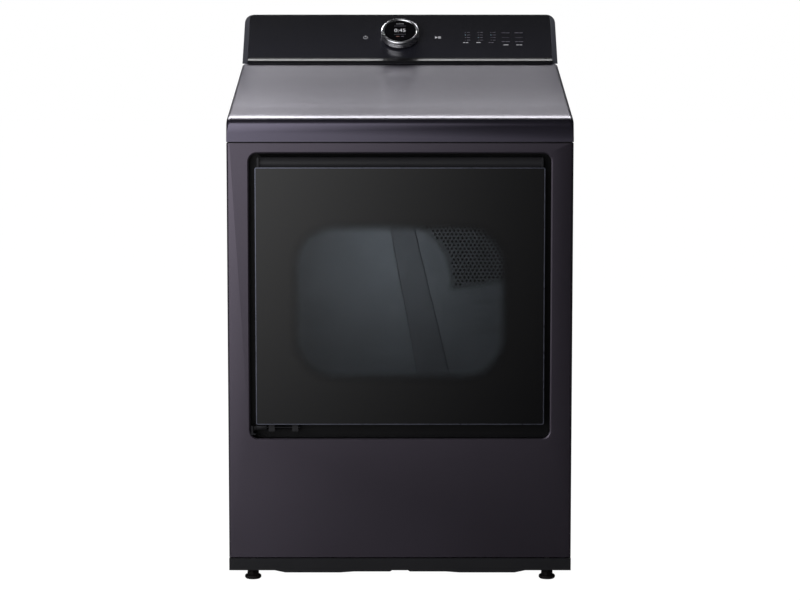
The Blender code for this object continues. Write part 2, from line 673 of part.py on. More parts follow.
def console():
    foot_y, foot_z = FRONT_Y + CONSOLE_FOOT, CONSOLE_FOOT_Z + GAP
    face_top_y = foot_y + CONSOLE_RUN
    top_y = face_top_y + CONSOLE_TOP
    back_y = top_y + CONSOLE_BACK
    wall, half = CONSOLE_WALL, HALF - CONSOLE_INSET
    slant = wall * FACE_LENGTH / CONSOLE_RISE
    slope_in = wall * (FACE_LENGTH - CONSOLE_RUN) / CONSOLE_RISE
    face_half = half - END_CAP - GAP

    fascia_side = [(foot_y, foot_z), (face_top_y, HEIGHT), (top_y, HEIGHT), (top_y, HEIGHT - wall),
                   (face_top_y + slope_in, HEIGHT - wall), (foot_y + slant, foot_z)]
    fascia = piece_from("console_fascia", prism_shape(fascia_side, "x", -face_half, face_half),
                        "console_black")
    combine(fascia, "INTERSECT", [console_envelope()])

    cap_side = [(foot_y, foot_z), (face_top_y, HEIGHT), (top_y, HEIGHT), (back_y, HEIGHT - CONSOLE_CHAMFER),
                (back_y, foot_z)]
    for name, side in (("console_end_cap_left", -1), ("console_end_cap_right", 1)):
        ends = sorted((side * (half - END_CAP), side * half))
        cap = piece_from(name, prism_shape(cap_side, "x", *ends), "console_black")
        combine(cap, "INTERSECT", [console_envelope()])

    start_y = top_y + GAP
    cover_side = [(start_y, HEIGHT), (back_y, HEIGHT - CONSOLE_CHAMFER), (back_y, foot_z),
                  (back_y - wall, foot_z), (back_y - wall, HEIGHT - CONSOLE_CHAMFER - wall),
                  (start_y, HEIGHT - wall)]
    cover = piece_from("console_rear_cover", prism_shape(cover_side, "x", -face_half, face_half),
                       "grey_plastic")
    combine(cover, "INTERSECT", [console_envelope()])

    board_top = -wall - BOARD_DROP
    board = box_shape((BOARD_ACROSS[0], BOARD_UP[0], board_top - BOARD_THICKNESS),
                      (BOARD_ACROSS[1], BOARD_UP[1], board_top))
    frame = Matrix((
        (1, 0, 0, 0), (0, FACE_UP.y, FACE_OUT.y, 0), (0, FACE_UP.z, FACE_OUT.z, 0), (0, 0, 0, 1)))
    bmesh.ops.transform(board, matrix=Matrix.Translation(face_point(0, 0, 0)) @ frame,
                        verts=board.verts[:])
    piece_from("control_board", board, "board_green")


def dial():
    centre = face_point(0, FACE_LENGTH * DIAL_PLACE, 0)
    ring_inner = DIAL_RADIUS - DIAL_RING_WALL
    post = ring_inner - DIAL_CLEARANCE
    top, display = DIAL_HEIGHT, DISPLAY_THICKNESS
    foot = DIAL_RADIUS - DIAL_FOOT_INSET
    base = [(0, GAP), (foot, GAP), (foot, DIAL_FOOT),
            (post, DIAL_FOOT), (post, top - display - GAP), (0, top - display - GAP)]
    piece_from("dial_base", turned_shape(base, centre, FACE_OUT, 48), "black_plastic")
    glass = [(0, top - display), (post, top - display), (post, top), (0, top)]
    piece_from("dial_display", turned_shape(glass, centre, FACE_OUT, 48), "smoked_glass")
    carrier = joint_empty("dial_axis", centre)
    low = DIAL_FOOT + GAP
    ring = [(ring_inner, low), (DIAL_RADIUS, low), (DIAL_RADIUS, top - DIAL_CHAMFER),
            (DIAL_RADIUS - DIAL_CHAMFER, top), (ring_inner + DIAL_CHAMFER / 2, top + DIAL_CLEARANCE),
            (ring_inner, top)]
    piece_from("dial_ring", turned_shape(ring, centre, FACE_OUT, 48), "brushed_ring", carrier)


# ---- door ----------------------------------------------------------------------------------

def door():
    swing = joint_empty("swing_axis", at(SWING_X, HINGE_DEPTH, TILT_Z))
    tilt = joint_empty("tilt_axis", at(0, TILT_DEPTH, TILT_Z), swing)
    hinge(swing)

    y = FRONT_Y
    piece_from("door_glass", prism_shape(
        rounded_outline(-GLASS_HALF, GLASS_HALF, GLASS_LOW, GLASS_HIGH, GLASS_RADIUS, 3),
        "y", y, y + GLASS_THICKNESS), "smoked_glass", tilt)

    frame_half = GLASS_HALF - FRAME_INSET
    low, high = GLASS_LOW + FRAME_INSET, GLASS_HIGH + PULL_HEIGHT
    start, end = y + FRAME_DEPTH_START, y + FRAME_DEPTH_START + FRAME_DEPTH
    frame = piece_from("door_frame", prism_shape(
        rounded_outline(-frame_half, frame_half, low, high, GLASS_RADIUS, 3), "y", start, end),
        "black_plastic", tilt)
    cut(frame, prism_shape(window_outline(WINDOW_COLLAR + GAP), "y", start - SHEET, end + SHEET))
    pull_z = GLASS_HIGH + PULL_HEIGHT * PULL_PLACE
    scoop = (start - PULL_RADIUS / 2, pull_z)
    cut(frame, rod_shape((-frame_half + PULL_END, *scoop), (frame_half - PULL_END, *scoop),
                         PULL_RADIUS, 32))
    for left in hinge_lugs():
        join(frame, box_shape(at(left, TILT_DEPTH - LUG_HALF, TILT_Z - LUG_HALF),
                              at(left + LUG_WIDTH, TILT_DEPTH + LUG_HALF, low + LUG_GAP)))
    pin_end = hinge_lugs()[-1] + LUG_WIDTH + 2 * PIN_PAST
    cut(frame, rod_shape(at(SWING_X, TILT_DEPTH, TILT_Z), at(pin_end, TILT_DEPTH, TILT_Z),
                         TILT_PIN_RADIUS + HINGE_CLEARANCE, 20))

    start, end = y + LINER_START, y + LINER_END
    reach = y + WINDOW_REACH
    liner = piece_from("door_inner_liner", prism_shape(
        rounded_outline(-GLASS_HALF + LINER_INSET, GLASS_HALF - LINER_INSET,
                        GLASS_LOW + LINER_INSET, GLASS_HIGH, LINER_RADIUS, 4), "y", start, end),
        "grey_plastic", tilt)
    join(liner, prism_shape(window_outline(WINDOW_COLLAR), "y", start, reach))
    cut(liner, prism_shape(window_outline(GAP), "y", start - SHEET, reach + SHEET))
    piece_from("door_window", prism_shape(
        window_outline(0), "y", reach - 2 * WINDOW_THICKNESS, reach - WINDOW_THICKNESS),
        "clear_glass", tilt)
    gasket = piece_from("door_gasket", prism_shape(
        window_outline(WINDOW_COLLAR + GAP + GASKET), "y", end + GAP, end + GAP + 2 * GASKET),
        "rubber", tilt)
    cut(gasket, prism_shape(window_outline(WINDOW_COLLAR + GAP), "y", end, end + 4 * GASKET))

    x, z = latch_place()
    across, up = STRIKE_SIZE[0] / 2, STRIKE_SIZE[1] / 2
    piece_from("door_strike", box_shape(at(x - across, LINER_END + GAP, z - up),
                                        at(x + across, RECESS_DEPTH + STRIKE_REACH, z + up)),
               "bare_steel", tilt)
    latch(x, z, across + LATCH_CLEARANCE, up + LATCH_CLEARANCE)


def latch_place():
    middle = (GLASS_HALF - LINER_INSET + WINDOW_HALF) / 2
    return middle + STRIKE_SHIFT, (GLASS_LOW + GLASS_HIGH) / 2


def latch(x, z, slot_across, slot_up):
    width, depth, height = LATCH_SIZE
    back = RECESS_DEPTH + RECESS_WALL
    catch = piece_from("latch_receiver", box_shape(
        at(x - width / 2, back + GAP, z - height / 2),
        at(x + width / 2, back + depth, z + height / 2)), "black_plastic")
    slot = (at(x - slot_across, RECESS_DEPTH - RECESS_WALL, z - slot_up),
            at(x + slot_across, back + depth - LATCH_WALL / 2, z + slot_up))
    cut(catch, box_shape(*slot))
    cut(bpy.data.objects["door_recess_liner"], box_shape(*slot))


def hinge_lugs():
    """Left ends of the two lugs on the door's frame that ride on the tilt pin."""
    first = SWING_X + LUG_START
    return [first, first + LUG_PITCH]


def hinge(swing):
    """Bracket and pin in the recess's lower left corner, and the knuckle that turns on the pin.

    The knuckle carries a level pin, so the door can swing sideways with the knuckle or tip
    forwards about the level pin.
    """
    plate_low = RECESS_LOW + HINGE_SEAT
    plate_high = plate_low + HINGE_PLATE
    pin_top = TILT_Z + HINGE_ARM
    inner = -GLASS_HALF - SHEET
    bracket = piece_from("door_hinge_bracket", box_shape(
        at(SWING_X - BARREL_RADIUS, SHEET, plate_low), at(inner, RECESS_DEPTH - GAP, plate_high)),
        "bare_steel")
    join(bracket, rod_shape(at(SWING_X, HINGE_DEPTH, plate_low + SHEET),
                            at(SWING_X, HINGE_DEPTH, pin_top), HINGE_PIN_RADIUS, 16))

    barrel_low = plate_high + GAP
    knuckle = piece_from("hinge_knuckle", rod_shape(
        at(SWING_X, HINGE_DEPTH, barrel_low), at(SWING_X, HINGE_DEPTH, pin_top),
        BARREL_RADIUS, 24), "bare_steel", swing)
    arm_end = hinge_lugs()[0] - LUG_GAP
    arm_low, arm_high = TILT_Z - HINGE_ARM + SHEET, TILT_Z + HINGE_ARM - SHEET
    arm_back = TILT_DEPTH + HINGE_ARM_DEPTH
    join(knuckle, box_shape(at(SWING_X, HINGE_DEPTH / 2, arm_low), at(inner, arm_back, arm_high)))
    join(knuckle, box_shape(at(inner - SHEET, TILT_DEPTH - HINGE_ARM_DEPTH, arm_low),
                            at(arm_end, arm_back, arm_high)))
    pin_end = hinge_lugs()[-1] + LUG_WIDTH + PIN_PAST
    join(knuckle, rod_shape(at(arm_end - LUG_WIDTH, TILT_DEPTH, TILT_Z),
                            at(pin_end, TILT_DEPTH, TILT_Z), TILT_PIN_RADIUS, 20))
    cut(knuckle, rod_shape(at(SWING_X, HINGE_DEPTH, barrel_low - SHEET),
                           at(SWING_X, HINGE_DEPTH, pin_top + SHEET),
                           HINGE_PIN_RADIUS + HINGE_CLEARANCE, 16))


# ---- drum and its bulkheads ----------------------------------------------------------------

def ring_shape(inner, outer, start, end, x=0.0, z=None, steps=64):
    """A plain ring about an axis running front to back."""
    centre = at(x, 0, DRUM_Z if z is None else z)
    profile = [(inner, start), (outer, start), (outer, end), (inner, end)]
    return turned_shape(profile, centre, (0, 1, 0), steps)


def disc_shape(radius, start, end, x, z, sides=48):
    return rod_shape(at(x, start, z), at(x, end, z), radius, sides)


def roller_places():
    for end, side in (("front", "left"), ("front", "right"), ("rear", "left"), ("rear", "right")):
        x = -ROLLER_X if side == "left" else ROLLER_X
        start = (DRUM_FRONT + ROLLER_INSET if end == "front"
                 else DRUM_REAR - ROLLER_INSET - ROLLER_WIDTH)
        yield f"{end}_{side}", end, x, start


def front_bulkhead():
    half = HALF - SHEET - GAP
    start, end = BULKHEAD_DEPTH, BULKHEAD_DEPTH + BULKHEAD_SHEET
    bulkhead = piece_from("front_bulkhead", box_shape(
        at(-half, start, BULKHEAD_BOTTOM), at(half, end, SEAM_Z - BULKHEAD_TOP)), "galvanised")
    collar_front = RECESS_DEPTH + RECESS_WALL + GAP
    collar = PORT_GROWTH + RECESS_WALL
    join(bulkhead, prism_shape(window_outline(collar), "y", FRONT_Y + collar_front, FRONT_Y + end))
    rim = ring_shape(RIM_RADIUS - BULKHEAD_SHEET, RIM_RADIUS, start + BULKHEAD_SHEET / 2,
                     end + RIM_DEPTH)
    join(bulkhead, rim)
    cut(bulkhead, prism_shape(window_outline(PORT_GROWTH), "y", FRONT_Y + RECESS_DEPTH,
                              FRONT_Y + end + SHEET))
    slot = FILTER_THICKNESS / 2 + FILTER_ROOM
    cut(bulkhead, box_shape(
        at(-FILTER_HALF_WIDTH - FILTER_SCREEN, FILTER_DEPTH - slot, PORT_LOW - 2 * RECESS_WALL),
        at(FILTER_HALF_WIDTH + FILTER_SCREEN, FILTER_DEPTH + slot, PORT_LOW + RECESS_WALL)))
    for _, place, x, first in roller_places():
        if place == "front":
            join(bulkhead, disc_shape(ROLLER_SHAFT_RADIUS, start + SHEET,
                                      first + ROLLER_WIDTH + ROLLER_INSET, x, ROLLER_Z, 16))


def grille_inner(degrees):
    share = (degrees - GRILLE_FROM) / (GRILLE_TO - GRILLE_FROM)
    return GRILLE_INNER_LOW + (GRILLE_INNER_HIGH - GRILLE_INNER_LOW) * share


def grille_point(radius, degrees):
    angle = math.radians(degrees)
    return radius * math.cos(angle), DRUM_Z + radius * math.sin(angle)


def grille_outline(inset, steps=8):
    """The hot air opening: a sector of a ring about the drum axis, upper right."""
    points = []
    for step in range(steps + 1):
        turn = math.degrees(inset / GRILLE_OUTER)
        degrees = GRILLE_FROM + turn + (GRILLE_TO - GRILLE_FROM - 2 * turn) * step / steps
        points.append(grille_point(GRILLE_OUTER - inset, degrees))
    for step in range(steps, -1, -1):
        turn = math.degrees(inset / grille_inner(GRILLE_FROM))
        degrees = GRILLE_FROM + turn + (GRILLE_TO - GRILLE_FROM - 2 * turn) * step / steps
        points.append(grille_point(grille_inner(degrees) + inset, degrees))
    return points


def rear_bulkhead():
    half = HALF - SHEET - GAP
    start, end = REAR_BULKHEAD, REAR_BULKHEAD + BULKHEAD_SHEET
    bulkhead = piece_from("rear_bulkhead", box_shape(
        at(-half, start, BULKHEAD_BOTTOM), at(half, end, SEAM_Z - BULKHEAD_TOP)), "galvanised")
    join(bulkhead, ring_shape(RIM_RADIUS - BULKHEAD_SHEET, RIM_RADIUS, start - RIM_DEPTH,
                              start + BULKHEAD_SHEET / 2))
    cut(bulkhead, prism_shape(grille_outline(GRILLE_EDGE), "y", FRONT_Y + start - SHEET,
                              FRONT_Y + end + SHEET))
    for _, place, x, first in roller_places():
        if place == "rear":
            join(bulkhead, disc_shape(ROLLER_SHAFT_RADIUS, first - ROLLER_INSET,
                                      start + SHEET / 2, x, ROLLER_Z, 16))

    back = FRONT_Y + start - GAP
    grille = piece_from("inlet_grille", prism_shape(grille_outline(0), "y", back - GRILLE_SHEET,
                                                    back), "drum_steel")
    holes = []
    for row in range(GRILLE_ROWS):
        count = 3 + row
        for place in range(count):
            degrees = GRILLE_FROM + (GRILLE_TO - GRILLE_FROM) * (place + 0.5) / count
            inner = grille_inner(degrees)
            radius = inner + (GRILLE_OUTER - inner) * (row + 1) / (GRILLE_ROWS + 1)
            x, z = grille_point(radius, degrees)
            holes.append(rod_shape((x, back - 2 * GRILLE_SHEET, z), (x, back + GRILLE_SHEET, z),
                                   GRILLE_HOLE, 8))
    cut(grille, gathered(holes))


def drum():
    carrier = joint_empty("drum_axis", at(0, DRUM_FRONT, DRUM_Z))
    outer, inner = DRUM_RADIUS, DRUM_RADIUS - SHEET
    skin = turned_shape([(inner, DRUM_FRONT), (outer, DRUM_FRONT), (outer, DRUM_REAR),
                         (inner, DRUM_REAR)], at(0, 0, DRUM_Z), (0, 1, 0), FACETS)
    piece_from("drum", skin, "drum_steel", carrier)
    reach = inner - GAP
    chord = math.sqrt(reach ** 2 - (BAFFLE_WIDTH / 2) ** 2) * math.cos(math.pi / FACETS)
    top_half = BAFFLE_WIDTH / 7
    section = [(-BAFFLE_WIDTH / 2, -chord), (BAFFLE_WIDTH / 2, -chord),
               (BAFFLE_WIDTH / 2.6, -chord + BAFFLE_HEIGHT * 0.25),
               (top_half, -chord + BAFFLE_HEIGHT * 0.93), (0, -chord + BAFFLE_HEIGHT),
               (-top_half, -chord + BAFFLE_HEIGHT * 0.93),
               (-BAFFLE_WIDTH / 2.6, -chord + BAFFLE_HEIGHT * 0.25)]
    for number in range(BAFFLE_COUNT):
        shape = prism_shape(section, "y", FRONT_Y + DRUM_FRONT + BAFFLE_END,
                            FRONT_Y + DRUM_REAR - BAFFLE_END)
        turn = Matrix.Rotation(math.tau * (number + 0.5) / BAFFLE_COUNT, 4, "Y")
        place = Matrix.Translation((0, 0, DRUM_Z)) @ turn
        bmesh.ops.transform(shape, matrix=place, verts=shape.verts[:])
        piece_from(f"drum_baffle_{number + 1}", shape, "grey_plastic", carrier)

    front_seal = BULKHEAD_DEPTH + BULKHEAD_SHEET + SEAL_BEHIND
    for name, start in (("drum_seal_front", front_seal),
                        ("drum_seal_rear", REAR_BULKHEAD - RIM_DEPTH + SHEET)):
        piece_from(name, ring_shape(SEAL_INNER, SEAL_OUTER * math.cos(math.pi / FACETS) - SHEET / 4,
                                    start, start + SEAL_LENGTH), "felt")


def drum_rollers():
    for name, _, x, start in roller_places():
        carrier = joint_empty(f"roller_axis_{name}", at(x, start, ROLLER_Z))
        bore = ROLLER_SHAFT_RADIUS + ROLLER_CLEARANCE
        end, edge = start + ROLLER_WIDTH, ROLLER_CHAMFER
        profile = [(bore, start), (ROLLER_RADIUS - edge, start), (ROLLER_RADIUS, start + edge),
                   (ROLLER_RADIUS, end - edge), (ROLLER_RADIUS - edge, end), (bore, end)]
        piece_from(f"drum_roller_{name}",
                   turned_shape(profile, at(x, 0, ROLLER_Z), (0, 1, 0), 32), "rubber", carrier)


# ---- drive ---------------------------------------------------------------------------------

def from_motor(offset):
    return MOTOR_X + offset[0], MOTOR_Z + offset[1]


def motor():
    start, end = MOTOR_FRONT, MOTOR_FRONT + MOTOR_LENGTH
    bore = SHAFT_RADIUS + SHAFT_CLEARANCE
    boss, stand, bell = MOTOR_BOSS, MOTOR_BOSS_STAND, MOTOR_BELL
    housing = [(bore, start), (boss, start), (boss, start + stand), (MOTOR_RADIUS, start + bell),
               (MOTOR_RADIUS, end - bell), (boss, end - stand), (boss, end), (bore, end)]
    piece_from("motor_housing", turned_shape(housing, at(MOTOR_X, 0, MOTOR_Z), (0, 1, 0), 40),
               "galvanised")

    floor = BASE_Z + SHEET + GAP
    half, plate = MOTOR_RADIUS + BRACKET_SIDE, BRACKET_SHEET
    first, second = start + BRACKET_PLACE, end - BRACKET_PLACE
    bracket = piece_from("motor_bracket", box_shape(
        at(MOTOR_X - half, first, floor), at(MOTOR_X + half, second, floor + plate)), "galvanised")
    for place in (first, second - plate):
        join(bracket, box_shape(at(MOTOR_X - half, place, floor + plate / 2),
                                at(MOTOR_X + half, place + plate, MOTOR_Z)))
    cut(bracket, disc_shape(MOTOR_RADIUS + GAP, first - plate, second + plate, MOTOR_X, MOTOR_Z))
    arm_end = BELT_DEPTH + IDLER_WIDTH / 2 + 2 * SHEET + ARM_THICKNESS
    pivot_x, pivot_z = from_motor(IDLER_PIVOT)
    join(bracket, disc_shape(STUD_RADIUS, second - plate / 2, arm_end + ARM_THICKNESS, pivot_x, pivot_z, 16))
    post_x, post_z = from_motor(SPRING_POST)
    post_base = floor + plate
    join(bracket, box_shape(at(post_x - POST_HALF, second - plate, floor),
                            at(post_x + POST_HALF, arm_end, floor + plate)))
    join(bracket, box_shape(at(post_x - POST_HALF, arm_end - ARM_THICKNESS, post_base - plate / 2),
                            at(post_x + POST_HALF, arm_end, post_z + 2 * ARM_THICKNESS)))

    carrier = joint_empty("motor_axis", at(MOTOR_X, start, MOTOR_Z))
    shaft_front = BLOWER_FRONT + WHEEL_FRONT
    half_belt = BELT_WIDTH / 2
    flange = PULLEY_RADIUS + PULLEY_FLANGE
    front, rear = BELT_DEPTH - PULLEY_FRONT, BELT_DEPTH + PULLEY_REAR
    track_front, track_rear = BELT_DEPTH - half_belt - SHEET, BELT_DEPTH + half_belt + SHEET
    pulley = [(0, shaft_front), (SHAFT_RADIUS, shaft_front), (SHAFT_RADIUS, front),
              (flange, front), (flange, track_front), (PULLEY_RADIUS, track_front),
              (PULLEY_RADIUS, track_rear), (flange, track_rear), (flange, rear), (0, rear)]
    piece_from("motor_shaft", turned_shape(pulley, at(MOTOR_X, 0, MOTOR_Z), (0, 1, 0), 24),
               "bare_steel", carrier)
    blower_wheel(carrier)


def blower_wheel(carrier):
    start = BLOWER_FRONT + WHEEL_FRONT
    end = BLOWER_FRONT + BLOWER_LENGTH - WHEEL_REAR
    back, bore = WHEEL_SHEET, SHAFT_RADIUS + GAP
    hub_front = start + 2 * HUB_RADIUS / 3
    hub = [(bore, hub_front), (HUB_RADIUS, hub_front), (HUB_RADIUS, end - back),
           (WHEEL_RADIUS, end - back), (WHEEL_RADIUS, end), (bore, end)]
    wheel = piece_from("blower_wheel", turned_shape(hub, at(MOTOR_X, 0, MOTOR_Z), (0, 1, 0), 32),
                       "grey_plastic", carrier)
    blade_in, blade_out = WHEEL_RADIUS * 0.72, WHEEL_RADIUS * 0.97
    blades = []
    for number in range(WHEEL_BLADES):
        blade = box_shape((blade_in, FRONT_Y + start, -BLADE_HALF),
                          (blade_out, FRONT_Y + end - back / 2, BLADE_HALF))
        turn = Matrix.Rotation(math.tau * (number + 0.3) / WHEEL_BLADES, 4, "Y")
        bmesh.ops.transform(blade, verts=blade.verts[:],
                            matrix=Matrix.Translation((MOTOR_X, 0, MOTOR_Z)) @ turn)
        blades.append(blade)
    join(wheel, gathered(blades))


def idler():
    x, z = from_motor(IDLER_OFFSET)
    pivot_x, pivot_z = from_motor(IDLER_PIVOT)
    arm_start = BELT_DEPTH + IDLER_WIDTH / 2 + 2 * SHEET
    arm_end = arm_start + ARM_THICKNESS
    swing = joint_empty("arm_axis", at(pivot_x, arm_start, pivot_z))
    along = Vector((x - pivot_x, z - pivot_z))
    side = Vector((along.y, -along.x)).normalized() * ARM_HALF
    first, last = Vector((pivot_x, pivot_z)), Vector((x, z))
    outline = [tuple(first + side), tuple(last + side), tuple(last - side), tuple(first - side)]
    arm = piece_from("idler_arm", prism_shape(outline, "y", FRONT_Y + arm_start,
                                              FRONT_Y + arm_end), "galvanised", swing)
    join(arm, disc_shape(ARM_HALF, arm_start, arm_end, pivot_x, pivot_z, 24))
    join(arm, disc_shape(ARM_HALF, arm_start, arm_end, x, z, 24))
    join(arm, disc_shape(STUD_RADIUS, BELT_DEPTH - IDLER_WIDTH / 2 - IDLER_FLANGE, arm_start + SHEET,
                         x, z, 16))
    cut(arm, disc_shape(STUD_RADIUS + HINGE_CLEARANCE, arm_start - SHEET, arm_end + SHEET,
                        pivot_x, pivot_z, 16))

    spin = joint_empty("idler_axis", at(x, BELT_DEPTH, z), swing)
    start, end = BELT_DEPTH - IDLER_WIDTH / 2, BELT_DEPTH + IDLER_WIDTH / 2
    bore, flange = STUD_RADIUS + HINGE_CLEARANCE, IDLER_RADIUS + IDLER_FLANGE
    track_start, track_end = start + IDLER_FLANGE, end - IDLER_FLANGE
    profile = [(bore, start), (flange, start), (flange, track_start), (IDLER_RADIUS, track_start),
               (IDLER_RADIUS, track_end), (flange, track_end), (flange, end), (bore, end)]
    piece_from("idler_pulley", turned_shape(profile, at(x, 0, z), (0, 1, 0), 32), "grey_plastic",
               spin)
    idler_spring(arm_start + ARM_THICKNESS / 2)


def idler_spring(depth):
    """A small tension spring between the arm's edge and the bracket's post."""
    pivot_x, pivot_z = from_motor(IDLER_PIVOT)
    arm_x, _ = from_motor(IDLER_OFFSET)
    post_x, post_z = from_motor(SPRING_POST)
    share = (post_z - pivot_z) / (from_motor(IDLER_OFFSET)[1] - pivot_z)
    start = pivot_x + (arm_x - pivot_x) * share + ARM_HALF + SPRING_RADIUS
    end = post_x - POST_HALF - SHEET
    turns, per_turn, radius = SPRING_TURNS, 8, SPRING_RADIUS
    curve = bpy.data.curves.new("idler_spring", "CURVE")
    curve.dimensions = "3D"
    curve.bevel_depth = SPRING_WIRE
    curve.bevel_resolution = 1
    curve.use_fill_caps = True
    line = curve.splines.new("POLY")
    line.points.add(turns * per_turn)
    for number, point in enumerate(line.points):
        angle = math.tau * number / per_turn
        share = number / (turns * per_turn)
        place = at(start + (end - start) * share, depth + radius * math.cos(angle),
                   post_z + radius * math.sin(angle))
        point.co = (*place, 1.0)
    curve.materials.append(MATERIALS["bare_steel"])
    spring = bpy.data.objects.new("idler_spring", curve)
    bpy.context.scene.collection.objects.link(spring)


def belt_line(steps_per_turn=72):
    """Middle line of the belt as (x, z): round the drum, outside the idler, round the pulley."""
    half = BELT_THICKNESS / 2
    wheels = [
        (Vector((0, DRUM_Z)), DRUM_RADIUS + BELT_CLEARANCE + half, 1),
        (Vector(from_motor(IDLER_OFFSET)), IDLER_RADIUS + BELT_CLEARANCE + half, -1),
        (Vector((MOTOR_X, MOTOR_Z)), PULLEY_RADIUS + BELT_CLEARANCE + half, 1),
    ]
    arrive, leave = {}, {}
    for number, (centre, radius, sense) in enumerate(wheels):
        after = (number + 1) % len(wheels)
        next_centre, next_radius, next_sense = wheels[after]
        step = next_centre - centre
        offset = next_sense * next_radius - sense * radius
        turn = -math.atan2(offset, math.sqrt(step.length_squared - offset ** 2))
        unit = step.normalized()
        along = Vector((unit.x * math.cos(turn) - unit.y * math.sin(turn),
                        unit.x * math.sin(turn) + unit.y * math.cos(turn)))
        left = Vector((-along.y, along.x))
        leave[number] = -sense * left
        arrive[after] = -next_sense * left
    points = []
    for number, (centre, radius, sense) in enumerate(wheels):
        first = math.atan2(arrive[number].y, arrive[number].x)
        last = math.atan2(leave[number].y, leave[number].x)
        sweep = (last - first) * sense % math.tau
        count = max(4, round(steps_per_turn * sweep / math.tau))
        for step in range(count + 1):
            angle = first + sense * sweep * step / count
            direction = Vector((math.cos(angle), math.sin(angle)))
            points.append((centre + radius * direction, direction * sense))
    return points


def drive_belt():
    shape = bmesh.new()
    half, front = BELT_THICKNESS / 2, FRONT_Y + BELT_DEPTH - BELT_WIDTH / 2
    loops = []
    for point, outward in belt_line():
        inner, outer = point - outward * half, point + outward * half
        loops.append([shape.verts.new((a.x, y, a.y)) for a, y in (
            (inner, front), (outer, front), (outer, front + BELT_WIDTH),
            (inner, front + BELT_WIDTH))])
    for loop, after in zip(loops, loops[1:] + loops[:1]):
        for corner in range(4):
            other = (corner + 1) % 4
            shape.faces.new((loop[corner], loop[other], after[other], after[corner]))
    bmesh.ops.recalc_face_normals(shape, faces=shape.faces[:])
    piece_from("drive_belt", shape, "rubber")


# ---- air path ------------------------------------------------------------------------------

def blower_housing():
    start, end, wall = BLOWER_FRONT, BLOWER_FRONT + BLOWER_LENGTH, BLOWER_WALL
    box_low = (EXHAUST_X - EXHAUST_RADIUS - wall, start + OUTLET_FRONT, EXHAUST_Z - EXHAUST_RADIUS - wall)
    box_high = (MOTOR_X, end, EXHAUST_Z + EXHAUST_RADIUS + wall)
    low, high = at(*box_low), at(*box_high)
    inset = Vector((wall, wall, wall))
    housing = piece_from("blower_housing", disc_shape(BLOWER_RADIUS, start, end, MOTOR_X, MOTOR_Z),
                         "grey_plastic")
    join(housing, box_shape(low, high))
    cut(housing, disc_shape(BLOWER_RADIUS - wall, start + wall, end - wall, MOTOR_X, MOTOR_Z))
    cut(housing, box_shape(low + inset, Vector((high.x, high.y - wall, high.z - wall))))
    cut(housing, disc_shape(INLET_RADIUS, start - wall, start + 2 * wall, MOTOR_X, MOTOR_Z))
    cut(housing, disc_shape(BLOWER_REAR_HOLE, end - 2 * wall, end + wall, MOTOR_X, MOTOR_Z, 24))
    cut(housing, disc_shape(EXHAUST_RADIUS - wall, end - 2 * wall, end + wall, EXHAUST_X,
                            EXHAUST_Z))


def exhaust_duct():
    start = BLOWER_FRONT + BLOWER_LENGTH + GAP
    piece_from("exhaust_duct", ring_shape(EXHAUST_RADIUS - SHEET, EXHAUST_RADIUS, start, DEPTH,
                                          EXHAUST_X, EXHAUST_Z, 40), "galvanised")


def lint_duct():
    wall = DUCT_WALL
    front = RECESS_DEPTH + RECESS_WALL + DUCT_DEPTH
    half = FILTER_HALF_WIDTH + FILTER_ROOM
    back, top = BULKHEAD_DEPTH - GAP, PORT_LOW - RECESS_WALL - GAP
    right = MOTOR_X + INLET_RADIUS + DUCT_TURN
    deep, low_top = BLOWER_FRONT - GAP, DUCT_TOP
    low, middle = DUCT_BOTTOM, low_top - DUCT_TURN
    duct = piece_from("lint_duct", box_shape(at(-half, front, middle), at(half, back, top)),
                      "grey_plastic")
    join(duct, box_shape(at(-half, front, low), at(right, deep, low_top)))
    cut(duct, box_shape(at(-half + wall, front + wall, middle), at(half - wall, back - wall,
                                                                   top + wall)))
    cut(duct, box_shape(at(-half + wall, front + wall, low + wall),
                        at(right - wall, deep - wall, low_top - wall)))
    cut(duct, disc_shape(INLET_RADIUS, deep - 2 * wall, deep + wall, MOTOR_X, MOTOR_Z))


def lint_filter():
    carrier = joint_empty("filter_slide", at(0, FILTER_DEPTH, PORT_LOW))
    half, thick = FILTER_HALF_WIDTH, FILTER_THICKNESS / 2
    low, high = PORT_LOW - FILTER_DROP, PORT_LOW + GAP
    frame = piece_from("lint_filter_frame", box_shape(
        at(-half, FILTER_DEPTH - thick, low), at(half, FILTER_DEPTH + thick, high + SHEET)),
        "grey_plastic", carrier)
    grip, grip_height = thick + FILTER_GRIP[0], FILTER_GRIP[1]
    join(frame, box_shape(at(-half, FILTER_DEPTH - grip, high),
                          at(half, FILTER_DEPTH + grip, high + grip_height)))
    rail = FILTER_RAIL
    cut(frame, box_shape(at(-half + rail, FILTER_DEPTH - 2 * thick, low + rail),
                         at(half - rail, FILTER_DEPTH + 2 * thick, high - rail)))
    screen = FILTER_SCREEN / 2
    piece_from("lint_filter_screen", box_shape(
        at(-half + rail + GAP, FILTER_DEPTH - screen, low + rail + GAP),
        at(half - rail - GAP, FILTER_DEPTH + screen, high - rail - GAP)), "filter_mesh", carrier)


